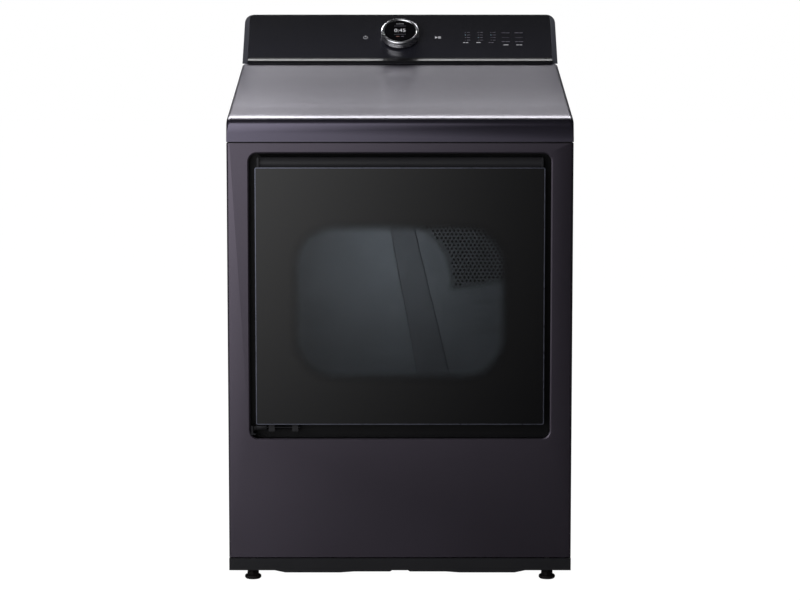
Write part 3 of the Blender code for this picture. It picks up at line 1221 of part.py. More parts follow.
def heater():
    """Sheet housing behind the hot air opening, and the element strung inside it."""
    start = REAR_BULKHEAD + BULKHEAD_SHEET + GAP
    end = start + HEATER_DEPTH
    left, right = -HEATER_MARGIN, GRILLE_OUTER + HEATER_MARGIN
    low, high = DRUM_Z - HEATER_LOW, DRUM_Z + GRILLE_OUTER + HEATER_MARGIN
    duct = piece_from("heater_duct", box_shape(at(left, start, low), at(right, end, high)),
                      "galvanised")
    cut(duct, box_shape(at(left + SHEET, start - SHEET, low - SHEET),
                        at(right - SHEET, end - SHEET, high - SHEET)))

    curve = bpy.data.curves.new("heating_element", "CURVE")
    curve.dimensions = "3D"
    curve.bevel_depth = ELEMENT_RADIUS
    curve.bevel_resolution = 2
    curve.use_fill_caps = True
    pitch, bend = ELEMENT_PITCH, ELEMENT_PITCH / 2
    depth = start + HEATER_DEPTH / 2
    first_z = DRUM_Z - ELEMENT_LOW
    span_low, span_high = left + ELEMENT_SIDE, right - ELEMENT_SIDE
    points = []
    for run in range(ELEMENT_RUNS):
        z = first_z + pitch * run
        ends = (span_low, span_high) if run % 2 == 0 else (span_high, span_low)
        points += [at(ends[0], depth, z), at(ends[1], depth, z)]
        if run < ELEMENT_RUNS - 1:
            outward = 1 if run % 2 == 0 else -1
            for step in range(1, 6):
                angle = -math.pi / 2 + math.pi * step / 6
                points.append(at(ends[1] + outward * bend * math.cos(angle), depth,
                                 z + bend + bend * math.sin(angle)))
    line = curve.splines.new("POLY")
    line.points.add(len(points) - 1)
    for point, place in zip(line.points, points):
        point.co = (*place, 1.0)
    curve.materials.append(MATERIALS["element_alloy"])
    element = bpy.data.objects.new("heating_element", curve)
    bpy.context.scene.collection.objects.link(element)


# ---- feet ----------------------------------------------------------------------------------

def leveling_legs():
    for name, x, depth in leg_places():
        carrier = joint_empty(f"leg_axis_{name}", at(x, depth, 0))
        neck_top = BASE_Z - GAP
        profile = [(0, 0), (LEG_DISC_RADIUS - SHEET, 0), (LEG_DISC_RADIUS, SHEET),
                   (LEG_DISC_RADIUS, LEG_DISC - 2 * SHEET), (LEG_NECK_RADIUS, LEG_DISC),
                   (LEG_NECK_RADIUS, neck_top), (LEG_STEM_RADIUS, neck_top),
                   (LEG_STEM_RADIUS, LEG_STEM_TOP), (0, LEG_STEM_TOP)]
        piece_from(f"leveling_leg_{name}",
                   turned_shape(profile, at(x, depth, 0), (0, 0, 1), 24), "rubber", carrier)


# ---- assembly ------------------------------------------------------------------------------

def clear_scene():
    for item in list(bpy.data.objects):
        bpy.data.objects.remove(item)


clear_scene()
MATERIALS = {name: make_material(name, *look) for name, look in FINISHES.items()}

base_pan()
side_panels()
rear_panel()
front_panel()
door_recess_liner()
top_deck()
deck_seal()
console()
dial()
door()
front_bulkhead()
rear_bulkhead()
drum()
drum_rollers()
motor()
idler()
drive_belt()
blower_housing()
exhaust_duct()
lint_duct()
lint_filter()
heater()
leveling_legs()
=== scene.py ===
"""Looks of a front-loading clothes dryer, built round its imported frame.

Laid out as an add-on: property groups hold the sizes and colours, each group of pieces has its own
operator, and main() runs them in order.  Metres, +Z up, the front faces -Y.
"""

import json
import math

import bmesh
import bpy
from bpy.props import FloatProperty, FloatVectorProperty, IntProperty, PointerProperty
from mathutils import Matrix, Vector

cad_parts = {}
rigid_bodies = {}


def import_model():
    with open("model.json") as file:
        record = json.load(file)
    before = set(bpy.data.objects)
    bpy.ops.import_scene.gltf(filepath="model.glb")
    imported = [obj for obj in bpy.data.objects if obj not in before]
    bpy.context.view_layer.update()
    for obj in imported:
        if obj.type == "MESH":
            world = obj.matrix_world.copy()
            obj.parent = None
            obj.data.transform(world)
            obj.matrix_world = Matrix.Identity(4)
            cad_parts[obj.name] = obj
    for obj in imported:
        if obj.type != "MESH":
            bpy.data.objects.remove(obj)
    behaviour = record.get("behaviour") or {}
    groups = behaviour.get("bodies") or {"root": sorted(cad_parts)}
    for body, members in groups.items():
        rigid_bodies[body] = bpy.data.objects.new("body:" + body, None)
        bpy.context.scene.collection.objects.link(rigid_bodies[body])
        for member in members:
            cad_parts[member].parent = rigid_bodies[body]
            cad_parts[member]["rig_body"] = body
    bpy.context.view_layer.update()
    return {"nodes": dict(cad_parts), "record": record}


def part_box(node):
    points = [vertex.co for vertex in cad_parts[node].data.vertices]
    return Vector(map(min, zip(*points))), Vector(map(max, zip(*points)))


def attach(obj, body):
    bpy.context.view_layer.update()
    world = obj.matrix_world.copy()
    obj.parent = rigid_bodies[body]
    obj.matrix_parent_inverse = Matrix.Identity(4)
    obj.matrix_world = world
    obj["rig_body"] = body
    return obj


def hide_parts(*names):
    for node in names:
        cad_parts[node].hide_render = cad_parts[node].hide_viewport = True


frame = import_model()

bl_info = {
    "name": "Clothes Dryer Builder",
    "version": (1, 0, 0),
    "blender": (4, 5, 0),
    "location": "View3D > Sidebar > Dryer",
    "description": "Builds the visible pieces and finishes of a front-loading clothes dryer",
    "category": "Object",
}

NODES = frame["nodes"]
SLOTS = {part["node"]: part["material_slot"] for part in frame["record"]["subparts"]}
FACE_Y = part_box("front_panel")[0].y
TOUCH = 0.0002                   # surface details start this far inside what they sit on
WELD = 1e-6                      # points closer than this are one point
FLAT = math.radians(0.5)         # faces that meet flatter than this are one face
SHARP = math.radians(35)         # edges sharper than this are rounded, or drawn sharp
BACKWARDS, UPWARDS = (0, 1, 0), (0, 0, 1)
WHITE = (1, 1, 1, 1)
GRILLE_FROM, GRILLE_TO = 10.0, 81.0      # hot air grille: degrees round the drum axis
GRILLE_INNER = (0.108, 0.170)            # its inner radius at those two ends
GRILLE_OUTER = 0.270
GRILLE_EDGE = 0.011                      # plain border round its holes
FLAKE, PEEL = 1400.0, 220.0      # noise scales of the paint's flake and orange peel
LAMP_FIRST, LAMP_STEP = 0.633, 0.052     # rows of console lamps, as shares of the slope


# ---- settings ------------------------------------------------------------------------------

def number_setting(name, text, value, **limits):
    return FloatProperty(name=name, description=text, default=value, **limits)


def length_setting(name, text, value):
    return number_setting(name, text, value, unit="LENGTH")


def colour_setting(name, text, value):
    return FloatVectorProperty(name=name, description=text, default=value, min=0, max=1,
                               subtype="COLOR")


class DryerStageSettings(bpy.types.PropertyGroup):
    """Camera and lights."""
    camera_height: length_setting("Camera height", "Height above the floor", 1.160)
    camera_distance: length_setting("Camera distance", "From the front panel", 5.2)
    aim_height: length_setting("Aim height", "Height the camera looks at", 0.570)
    lens: number_setting("Lens", "Focal length in millimetres", 118.6)
    card_power: number_setting("Card", "Glow of the graded card at the front", 3.9)
    key_power: number_setting("Key light", "Soft light at the front left", 9.0)
    top_power: number_setting("Top light", "Soft light above and behind", 74.0)
    fill_power: number_setting("Fill light", "Soft light at the right", 1.0)
    room: number_setting("Room", "Brightness of the room around", 0.018)
    drum_power: number_setting("Drum lamp", "Small light inside the drum", 1.2)


class DryerPaintSettings(bpy.types.PropertyGroup):
    """Colours of the cabinet and console."""
    cabinet: colour_setting("Cabinet", "Cabinet paint", (0.046, 0.039, 0.053))
    # painted light: the deck colour is a lighter, bluer copy of the cabinet paint, for the top
    # light falling on the deck
    deck: colour_setting("Top deck", "Deck paint", (0.056, 0.050, 0.072))
    console: colour_setting("Console", "Console face", (0.010, 0.010, 0.014))
    plastic: colour_setting("Black plastic", "Recess and frame", (0.006, 0.006, 0.007))
    silver: colour_setting("Dial silver", "Turning ring", (0.62, 0.62, 0.66))
    marks: colour_setting("Marks", "Printed and lit marks", (0.60, 0.60, 0.64))


class DryerDetailSettings(bpy.types.PropertyGroup):
    """Sizes of the surface details."""
    panel_edge: length_setting("Panel edge", "Rounding of sheet edges", 0.0007)
    deck_edge: length_setting("Deck edge", "Rounding of the top deck's edges", 0.0075)
    glass_trim: length_setting("Glass trim", "Width of the trim round the glass", 0.0016)
    window_fade: length_setting("Window fade", "Soft border of the clear area", 0.030)
    window_clear: number_setting("Window clearness", "How far one sees through", 0.55,
                                 min=0, max=1)
    hole_pitch: length_setting("Grille hole pitch", "Between hole centres", 0.0092)
    hole_radius: length_setting("Grille hole radius", "Hot air holes", 0.0030)
    dial_grooves: IntProperty(name="Dial grooves", description="Fine lines round the dial's side",
                              default=3)


# ---- node materials ------------------------------------------------------------------------

class Wiring:
    """Short ways to add nodes to a node tree and join them."""

    def __init__(self, tree):
        self.tree = tree

    def node(self, kind, inputs=None, **settings):
        made = self.tree.nodes.new(kind)
        for key, value in settings.items():
            setattr(made, key, value)
        for key, value in (inputs or {}).items():
            if isinstance(value, bpy.types.NodeSocket):
                self.tree.links.new(value, made.inputs[key])
            else:
                made.inputs[key].default_value = value
        return made

    def maths(self, operation, first, second=0.0, clamp=False):
        return self.node("ShaderNodeMath", {0: first, 1: second}, operation=operation,
                         use_clamp=clamp).outputs[0]

    def vectors(self, operation, first, second=(0, 0, 0)):
        return self.node("ShaderNodeVectorMath", {0: first, 1: second}, operation=operation)

    def spread(self, value, low, high, from_low=0.3, from_high=0.7, kind="LINEAR"):
        return self.node("ShaderNodeMapRange", {
            "Value": value, "From Min": from_low, "From Max": from_high,
            "To Min": low, "To Max": high}, interpolation_type=kind).outputs["Result"]

    def to_camera(self):
        """1 for rays that start at the camera, 0 for all others."""
        return self.node("ShaderNodeLightPath").outputs["Is Camera Ray"]


class Finish(Wiring):
    """A Principled material under construction, with short ways to wire patterns into it."""

    def __init__(self, name, colour, roughness, metallic=0.0):
        self.material = bpy.data.materials.new(name)
        self.material.use_nodes = True
        super().__init__(self.material.node_tree)
        self.shader = self.tree.nodes["Principled BSDF"]
        self.colour = (*colour[:3], 1.0)
        self.set("Base Color", self.colour)
        self.set("Roughness", roughness)
        self.set("Metallic", metallic)
        self.material.diffuse_color = self.colour
        self.place = self.node("ShaderNodeTexCoord").outputs["Object"]

    def set(self, socket, value):
        self.shader.inputs[socket].default_value = value
        return self

    def link(self, output, socket):
        self.tree.links.new(output, self.shader.inputs[socket])

    def stretched(self, scale):
        mapping = self.node("ShaderNodeMapping", {"Vector": self.place, "Scale": scale})
        return mapping.outputs["Vector"]

    def noise(self, scale, detail=3.0, vector=None):
        made = self.node("ShaderNodeTexNoise", {
            "Vector": vector or self.place, "Scale": scale, "Detail": detail})
        return made.outputs["Fac"]

    def vary_colour(self, value, dark, light):
        """Run the base colour between a darker and a lighter share of itself."""
        shades = [tuple(min(1.0, part * share) for part in self.colour[:3]) + (1.0,)
                  for share in (dark, light)]
        mixed = self.node("ShaderNodeMix", data_type="RGBA").outputs[2]
        for socket, shade in zip(mixed.node.inputs[6:8], shades):
            socket.default_value = shade
        self.tree.links.new(value, mixed.node.inputs[0])
        self.link(mixed, "Base Color")
        return mixed

    def bump(self, height, strength, distance=0.0002):
        made = self.node("ShaderNodeBump", {
            "Height": height, "Strength": strength, "Distance": distance})
        self.link(made.outputs["Normal"], "Normal")


def paint(name, colour, roughness, metallic=0.80):
    """Baked metallic paint: fine flake, faint orange peel and slow changes of shade."""
    finish = Finish(name, colour, roughness, metallic)
    finish.set("Coat Weight", 0.10).set("Coat Roughness", 0.18)
    flakes = finish.noise(FLAKE, 2.0)
    slow = finish.noise(2.2, 2.0)
    shade = finish.maths("ADD", finish.spread(flakes, -0.10, 0.10), slow)
    finish.vary_colour(finish.spread(shade, 0.0, 1.0, 0.25, 0.75), 0.88, 1.12)
    finish.link(finish.spread(flakes, roughness - 0.04, roughness + 0.05), "Roughness")
    finish.bump(finish.noise(PEEL, 1.0), 0.06)


def moulded(name, colour, roughness, grain=700.0, strength=0.15, coat=0.0):
    """Moulded plastic with a fine spark-eroded grain."""
    finish = Finish(name, colour, roughness)
    finish.set("Specular IOR Level", 0.12)
    finish.set("Coat Weight", coat).set("Coat Roughness", 0.08)
    fine = finish.noise(grain, 3.0)
    finish.vary_colour(finish.spread(finish.noise(6.0), 0.0, 1.0), 0.90, 1.10)
    finish.link(finish.spread(fine, roughness - 0.05, roughness + 0.07), "Roughness")
    finish.bump(fine, strength)


def brushed(name, colour, roughness, grain):
    """Drawn or turned metal: noise stretched along the grain."""
    finish = Finish(name, colour, roughness, 1.0)
    lines = finish.noise(1.0, 4.0, finish.stretched(grain))
    finish.vary_colour(finish.spread(lines, 0.0, 1.0), 0.86, 1.08)
    finish.link(finish.spread(lines, roughness - 0.06, roughness + 0.10), "Roughness")
    finish.bump(lines, 0.12, 0.0001)


def zinc(name, colour, roughness):
    """Hot-dipped sheet with its crystal spangle."""
    finish = Finish(name, colour, roughness, 0.9)
    cells = finish.node("ShaderNodeTexVoronoi", {"Vector": finish.place, "Scale": 85.0})
    spangle = finish.node("ShaderNodeSeparateColor", {"Color": cells.outputs["Color"]})
    crystal = spangle.outputs["Red"]
    finish.vary_colour(finish.spread(crystal, 0.0, 1.0, 0.0, 1.0), 0.82, 1.10)
    finish.link(finish.spread(crystal, roughness - 0.08, roughness + 0.12, 0.0, 1.0), "Roughness")
    finish.bump(finish.noise(160.0), 0.08)


def soft_rubber(name, colour, roughness=0.75):
    finish = Finish(name, colour, roughness)
    dust = finish.noise(40.0, 5.0)
    finish.vary_colour(finish.spread(dust, 0.0, 1.0, 0.4, 0.8), 0.9, 1.7)
    finish.bump(finish.noise(900.0, 2.0), 0.25)


def pressed_felt(name, colour):
    finish = Finish(name, colour, 0.95)
    finish.set("Sheen Weight", 0.5)
    fibres = finish.noise(1100.0, 5.0)
    finish.vary_colour(finish.spread(fibres, 0.0, 1.0), 0.6, 1.25)
    finish.bump(fibres, 0.7, 0.0006)


def woven_screen(name, colour):
    """Fine square weave of the lint screen."""
    finish = Finish(name, colour, 0.6, 0.2)
    weave = finish.node("ShaderNodeTexChecker", {"Vector": finish.place, "Scale": 1200.0})
    finish.vary_colour(weave.outputs["Fac"], 0.35, 1.2)
    finish.bump(weave.outputs["Fac"], 0.5, 0.0003)


def circuit(name, colour):
    finish = Finish(name, colour, 0.4)
    tracks = finish.node("ShaderNodeTexBrick", {"Vector": finish.place, "Scale": 110.0})
    finish.vary_colour(tracks.outputs["Fac"], 1.0, 2.2)


def lit_mark(name, colour, strength):
    """Backlit print: glows a little, with slightly uneven ink."""
    finish = Finish(name, colour, 0.4)
    ink = finish.noise(500.0, 2.0)
    tone = finish.vary_colour(finish.spread(ink, 0.0, 1.0), 0.92, 1.0)
    finish.link(tone, "Emission Color")
    finish.set("Emission Strength", strength)


def window_mask(finish, low, high, radius, fade):
    """0 in the middle of a rounded rectangle in X and Z, rising to 1 across its soft border."""
    middle, half = (low + high) / 2, (high - low) / 2
    offset = finish.vectors("SUBTRACT", finish.place, middle).outputs[0]
    flat = finish.vectors("MULTIPLY", offset, (1, 0, 1)).outputs[0]
    size = finish.vectors("ABSOLUTE", flat).outputs[0]
    over = finish.vectors("SUBTRACT", size, (half.x - radius, 0, half.z - radius)).outputs[0]
    outside = finish.vectors("MAXIMUM", over).outputs[0]
    reach = finish.vectors("LENGTH", outside).outputs["Value"]
    return finish.spread(reach, 0.0, 1.0, radius - fade, radius - fade * 0.02, "SMOOTHSTEP")


def smoked_glass(name, settings):
    """Tinted door glass: printed black towards its edges, see-through in the middle."""
    finish = Finish(name, (0.003, 0.003, 0.0035), 0.04)
    finish.set("IOR", 1.32).set("Coat Weight", 0.12).set("Coat Roughness", 0.02)
    low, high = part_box("door_window")
    mask = window_mask(finish, low, high, 0.095, settings.window_fade)
    haze = finish.spread(finish.noise(5.0), -0.03, 0.03)
    inside = finish.maths("SUBTRACT", 1.0, mask, clamp=True)
    alpha = finish.spread(mask, 1.0 - settings.window_clear, 1.0, 0.0, 1.0)
    finish.link(finish.maths("ADD", alpha, finish.maths("MULTIPLY", haze, inside), clamp=True),
                "Alpha")
    finish.link(finish.spread(finish.noise(30.0), 0.02, 0.06), "Roughness")
    finish.material.surface_render_method = "BLENDED"


def clear_glass(name):
    finish = Finish(name, (0.10, 0.11, 0.12), 0.03)
    finish.set("IOR", 1.5)
    haze = finish.noise(14.0, 4.0)
    finish.link(finish.spread(haze, 0.05, 0.09), "Alpha")
    finish.link(finish.spread(haze, 0.02, 0.08), "Roughness")
    finish.material.surface_render_method = "BLENDED"


def console_finish(name, colour):
    """Half-gloss console face, painted lighter towards its foot: painted light for the glow the
    bright deck throws up onto it.
    """
    finish = Finish(name, colour, 0.22)
    finish.set("Coat Weight", 0.25).set("Coat Roughness", 0.10)
    low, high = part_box("console_fascia")
    height = finish.node("ShaderNodeSeparateXYZ", {"Vector": finish.place}).outputs["Z"]
    # painted light: the colour runs lighter towards the foot, standing in for the deck's light on
    # the face
    foot = finish.spread(height, 1.0, 0.0, low.z, high.z)
    speck = finish.spread(finish.noise(900.0, 2.0), -0.08, 0.08)
    finish.vary_colour(finish.maths("ADD", foot, speck, clamp=True), 0.8, 2.1)
    finish.link(finish.spread(finish.noise(300.0), 0.18, 0.27), "Roughness")


def make_finishes(scene):
    paints = scene.dryer_paint
    paint("graphite_paint", paints.cabinet, 0.36)
    # painted light: the deck gets a lighter copy of the cabinet paint, for the light falling on it
    # from above
    paint("deck_paint", paints.deck, 0.30)
    console_finish("console_black", paints.console)
    smoked_glass("smoked_glass", scene.dryer_details)
    clear_glass("clear_glass")
    moulded("black_plastic", paints.plastic, 0.42)
    moulded("frame_plastic", (0.016, 0.016, 0.018), 0.38)
    moulded("cap_plastic", (0.050, 0.052, 0.066), 0.34)
    moulded("grey_plastic", (0.12, 0.12, 0.125), 0.45)
    moulded("foot_plastic", (0.012, 0.010, 0.010), 0.55, 300.0, 0.3)
    moulded("display_glass", (0.004, 0.004, 0.005), 0.10, coat=0.6, strength=0.02)
    brushed("brushed_ring", paints.silver, 0.24, (30, 30, 2600))
    # partly painted highlight: the glass's edge trim is a lighter metal that stands for the glint
    # along the glass's bevelled edge
    brushed("edge_metal_highlight", (0.10, 0.105, 0.135), 0.30, (60, 900, 60))
    brushed("drum_steel", (0.46, 0.48, 0.50), 0.34, (700, 6, 700))
    brushed("wall_steel", (0.34, 0.37, 0.40), 0.48, (8, 8, 420))
    # painted shade: a darker copy of the wall steel, so the pressed band reads as shaded; the
    # grille rim uses it too
    brushed("shaded_wall_steel", (0.275, 0.295, 0.32), 0.5, (8, 8, 420))
    brushed("grille_steel", (0.20, 0.215, 0.23), 0.5, (300, 300, 300))
    brushed("bare_steel", (0.50, 0.50, 0.51), 0.30, (500, 500, 20))
    brushed("sooted_steel", (0.035, 0.034, 0.033), 0.6, (40, 40, 40))
    brushed("black_metal", (0.020, 0.020, 0.022), 0.42, (300, 300, 300))
    brushed("element_alloy", (0.20, 0.15, 0.12), 0.45, (200, 200, 200))
    zinc("galvanised", (0.42, 0.43, 0.45), 0.38)
    pressed_felt("felt", (0.26, 0.25, 0.22))
    soft_rubber("rubber", (0.012, 0.012, 0.012))
    circuit("board_green", (0.012, 0.09, 0.045))
    woven_screen("filter_mesh", (0.30, 0.31, 0.33))
    lit_mark("white_mark", paints.marks, 0.35)
    lit_mark("dim_mark", (0.16, 0.15, 0.19), 0.10)
    lit_mark("amber_mark", (0.30, 0.12, 0.10), 0.20)
    lit_mark("blue_mark", (0.28, 0.42, 0.52), 0.35)


# ---- making and placing pieces -------------------------------------------------------------

def finish_of(name):
    return bpy.data.materials[name]


def new_piece(name, shape, finish, body="cabinet", smooth=SHARP):
    """Turn a bmesh into a piece that rides on a body."""
    mesh = bpy.data.meshes.new(name)
    shape.to_mesh(mesh)
    shape.free()
    mesh.materials.append(finish_of(finish))
    piece = bpy.data.objects.new(name, mesh)
    bpy.context.scene.collection.objects.link(piece)
    mesh.shade_smooth()
    mesh.set_sharp_from_angle(angle=smooth)
    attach(piece, body)
    return piece


def soften(piece, width, segments=2):
    """Round the sharp edges of a piece."""
    rounding = piece.modifiers.new("rounding", "BEVEL")
    rounding.width, rounding.segments = width, segments
    rounding.limit_method, rounding.angle_limit = "ANGLE", SHARP
    rounding.harden_normals = True


def body_of(node):
    return NODES[node]["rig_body"]


def round_node(node):
    """Box corners, axis point and radius of a node that is round about a line front to back."""
    low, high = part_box(node)
    centre = Vector(((low.x + high.x) / 2, 0, (low.z + high.z) / 2))
    return low, high, centre, (high.x - low.x) / 2


def welded(node):
    """A CAD node's shape with its shared points merged."""
    shape = bmesh.new()
    shape.from_mesh(NODES[node].data)
    bmesh.ops.remove_doubles(shape, verts=shape.verts[:], dist=WELD)
    return shape


def refine(node, finish, width, segments=2):
    """Replace a CAD node by a merged copy whose edges are rounded."""
    shape = welded(node)
    bmesh.ops.dissolve_limit(shape, angle_limit=FLAT, verts=shape.verts[:],
                             edges=shape.edges[:])
    piece = new_piece(node + "_finished", shape, finish, body_of(node))
    soften(piece, width, segments)
    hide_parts(node)


def block(low, high):
    shape = bmesh.new()
    middle, size = (Vector(low) + Vector(high)) / 2, Vector(high) - Vector(low)
    bmesh.ops.create_cube(shape, size=1.0,
                          matrix=Matrix.Translation(middle) @ Matrix.Diagonal((*size, 1.0)))
    return shape


def gather(target, shape):
    """Add one shape to another and free it."""
    mesh = bpy.data.meshes.new("gathered")
    shape.to_mesh(mesh)
    shape.free()
    target.from_mesh(mesh)
    bpy.data.meshes.remove(mesh)
    return target


def turned(profile, centre, axis, steps, closed=False):
    """Spin a (radius, along) profile about an axis; ends on the axis close themselves."""
    shape = bmesh.new()
    verts = [shape.verts.new((radius, 0, along)) for radius, along in profile]
    pairs = list(zip(verts, verts[1:])) + ([(verts[-1], verts[0])] if closed else [])
    edges = [shape.edges.new(pair) for pair in pairs]
    bmesh.ops.spin(shape, geom=verts + edges, cent=(0, 0, 0), axis=(0, 0, 1), angle=math.tau,
                   steps=steps, use_merge=True)
    bmesh.ops.remove_doubles(shape, verts=shape.verts[:], dist=WELD)
    turn = Vector(axis).normalized().to_track_quat("Z", "Y").to_matrix().to_4x4()
    bmesh.ops.transform(shape, matrix=Matrix.Translation(centre) @ turn, verts=shape.verts[:])
    bmesh.ops.recalc_face_normals(shape, faces=shape.faces[:])
    return shape


def pushed(outline, direction):
    """A flat outline of 3-D points pushed into a solid."""
    shape = bmesh.new()
    face = shape.faces.new([shape.verts.new(point) for point in outline])
    made = bmesh.ops.extrude_face_region(shape, geom=[face])
    verts = [item for item in made["geom"] if isinstance(item, bmesh.types.BMVert)]
    bmesh.ops.translate(shape, verts=verts, vec=direction)
    bmesh.ops.recalc_face_normals(shape, faces=shape.faces[:])
    return shape


def round_corners(points, radii, steps=6):
    """Replace each corner of a flat (a, b) polygon by an arc of its radius."""
    rounded = []
    count = len(points)
    for number, (point, radius) in enumerate(zip(points, radii)):
        corner = Vector(point)
        before = (Vector(points[number - 1]) - corner).normalized()
        after = (Vector(points[(number + 1) % count]) - corner).normalized()
        if radius <= 0:
            rounded.append(corner)
            continue
        half = before.angle(after) / 2
        reach = radius / math.tan(half)
        centre = corner + (before + after).normalized() * (radius / math.sin(half))
        first, last = corner + before * reach - centre, corner + after * reach - centre
        sweep = first.angle_signed(last)
        for step in range(steps + 1):
            turn = Matrix.Rotation(-sweep * step / steps, 2)
            rounded.append(centre + turn @ first)
    return rounded


def rounded_box_outline(left, right, low, high, radius, y, steps=6):
    corners = [(left, low), (right, low), (right, high), (left, high)]
    return [(a, y, b) for a, b in round_corners(corners, [radius] * 4, steps)]


def band(outer, inner, direction):
    """A flat ring between two outlines of equal length, pushed into a solid."""
    shape = bmesh.new()
    loops = []
    for points in (outer, inner):
        verts = [shape.verts.new(point) for point in points]
        loops += [shape.edges.new(pair) for pair in zip(verts, verts[1:] + verts[:1])]
    faces = bmesh.ops.bridge_loops(shape, edges=loops)["faces"]
    made = bmesh.ops.extrude_face_region(shape, geom=faces)
    verts = [item for item in made["geom"] if isinstance(item, bmesh.types.BMVert)]
    bmesh.ops.translate(shape, verts=verts, vec=direction)
    bmesh.ops.recalc_face_normals(shape, faces=shape.faces[:])
    return shape


def carve(piece, shape):
    """Cut a shape out of a piece."""
    mesh = bpy.data.meshes.new("tool")
    shape.to_mesh(mesh)
    shape.free()
    tool = bpy.data.objects.new("tool", mesh)
    bpy.context.scene.collection.objects.link(tool)
    step = piece.modifiers.new("carve", "BOOLEAN")
    step.operation, step.solver, step.object = "DIFFERENCE", "EXACT", tool
    graph = bpy.context.evaluated_depsgraph_get()
    result = bpy.data.meshes.new_from_object(piece.evaluated_get(graph))
    before = piece.data
    piece.modifiers.clear()
    piece.data = result
    bpy.data.meshes.remove(before)
    bpy.data.objects.remove(tool)
    bpy.data.meshes.remove(mesh)
    piece.data.shade_smooth()
    piece.data.set_sharp_from_angle(angle=SHARP)


# ---- places on the console -----------------------------------------------------------------

class ConsoleFace:
    """The sloped face of the console: across, up its slope and out from it."""

    def __init__(self):
        low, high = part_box("console_fascia")
        joint = next(item for item in frame["record"]["behaviour"]["joints"]
                     if item["name"] == "dial_turn")
        self.out = Vector(joint["axis"]).normalized()
        self.up = Vector((0, self.out.z, -self.out.y))
        self.foot = Vector((0, low.y, low.z))
        self.length = (high.z - low.z) / self.up.z
        self.half = high.x
        self.dial = Vector(joint["pos_m"])

    def point(self, across, up, out=0.0):
        return self.foot + Vector((across, 0, 0)) + self.up * up + self.out * out

    def matrix(self, across, up, out=0.0):
        """Places flat work, drawn in X and Y, on the face."""
        turn = Matrix((Vector((1, 0, 0)), self.up, self.out)).transposed().to_4x4()
        return Matrix.Translation(self.point(across, up, out)) @ turn


CONSOLE = ConsoleFace()


# ---- operators: finishes and cabinet -------------------------------------------------------

class PieceOperator:
    """Shared by every operator of this builder."""
    bl_options = {"REGISTER", "UNDO"}


class DRYER_OT_finishes(PieceOperator, bpy.types.Operator):
    """Make every finish and give each carried-over piece its own."""
    bl_idname = "dryer.finishes"
    bl_label = "Finishes"

    def execute(self, context):
        for material in list(bpy.data.materials):      # frees the slots' names
            material.name = "plain_" + material.name
        make_finishes(context.scene)
        special = {"rear_bulkhead": "wall_steel", "front_bulkhead": "wall_steel",
                   "dial_display": "display_glass"}
        special.update({node: "foot_plastic" for node in NODES if node.startswith("leveling")})
        for node, thing in NODES.items():
            thing.data.materials.clear()
            thing.data.materials.append(finish_of(special.get(node, SLOTS[node])))
        return {"FINISHED"}


class DRYER_OT_cabinet(PieceOperator, bpy.types.Operator):
    """Front panel, sides, top deck, seam strip and base with rolled sheet edges."""
    bl_idname = "dryer.cabinet"
    bl_label = "Cabinet"

    def execute(self, context):
        details = context.scene.dryer_details
        edge = details.panel_edge
        self.front_panel(edge)
        for node in ("side_panel_left", "side_panel_right"):
            refine(node, "graphite_paint", edge * 0.6)
        refine("top_deck", "deck_paint", details.deck_edge, 5)
        refine("base_pan", "frame_plastic", edge * 0.6)
        refine("deck_seal", "rubber", edge * 0.4, 1)
        refine("door_recess_liner", "black_plastic", edge * 0.8)
        for node in ("rear_panel", "rear_lower_panel"):
            refine(node, "galvanised", edge * 0.4, 1)
        return {"FINISHED"}

    def front_panel(self, edge):
        """The panel's door opening has a rolled-in edge that catches light."""
        refine("front_panel", "graphite_paint", edge)
        low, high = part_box("door_recess_liner")
        flange, radius, width = 0.008, 0.019, 0.0022
        sunk, slope, depth = 0.0004, 0.0014, 0.006
        left, right = low.x + flange, high.x - flange
        bottom, top = low.z + flange, high.z - flange
        y = FACE_Y + sunk
        outer = rounded_box_outline(left, right, bottom, top, radius, y, 8)
        inner = rounded_box_outline(left + width, right - width, bottom + width, top - width,
                                    radius - width, y + slope, 8)
        new_piece("recess_rolled_edge", band(outer, inner, Vector((0, depth, 0))),
                  "graphite_paint")


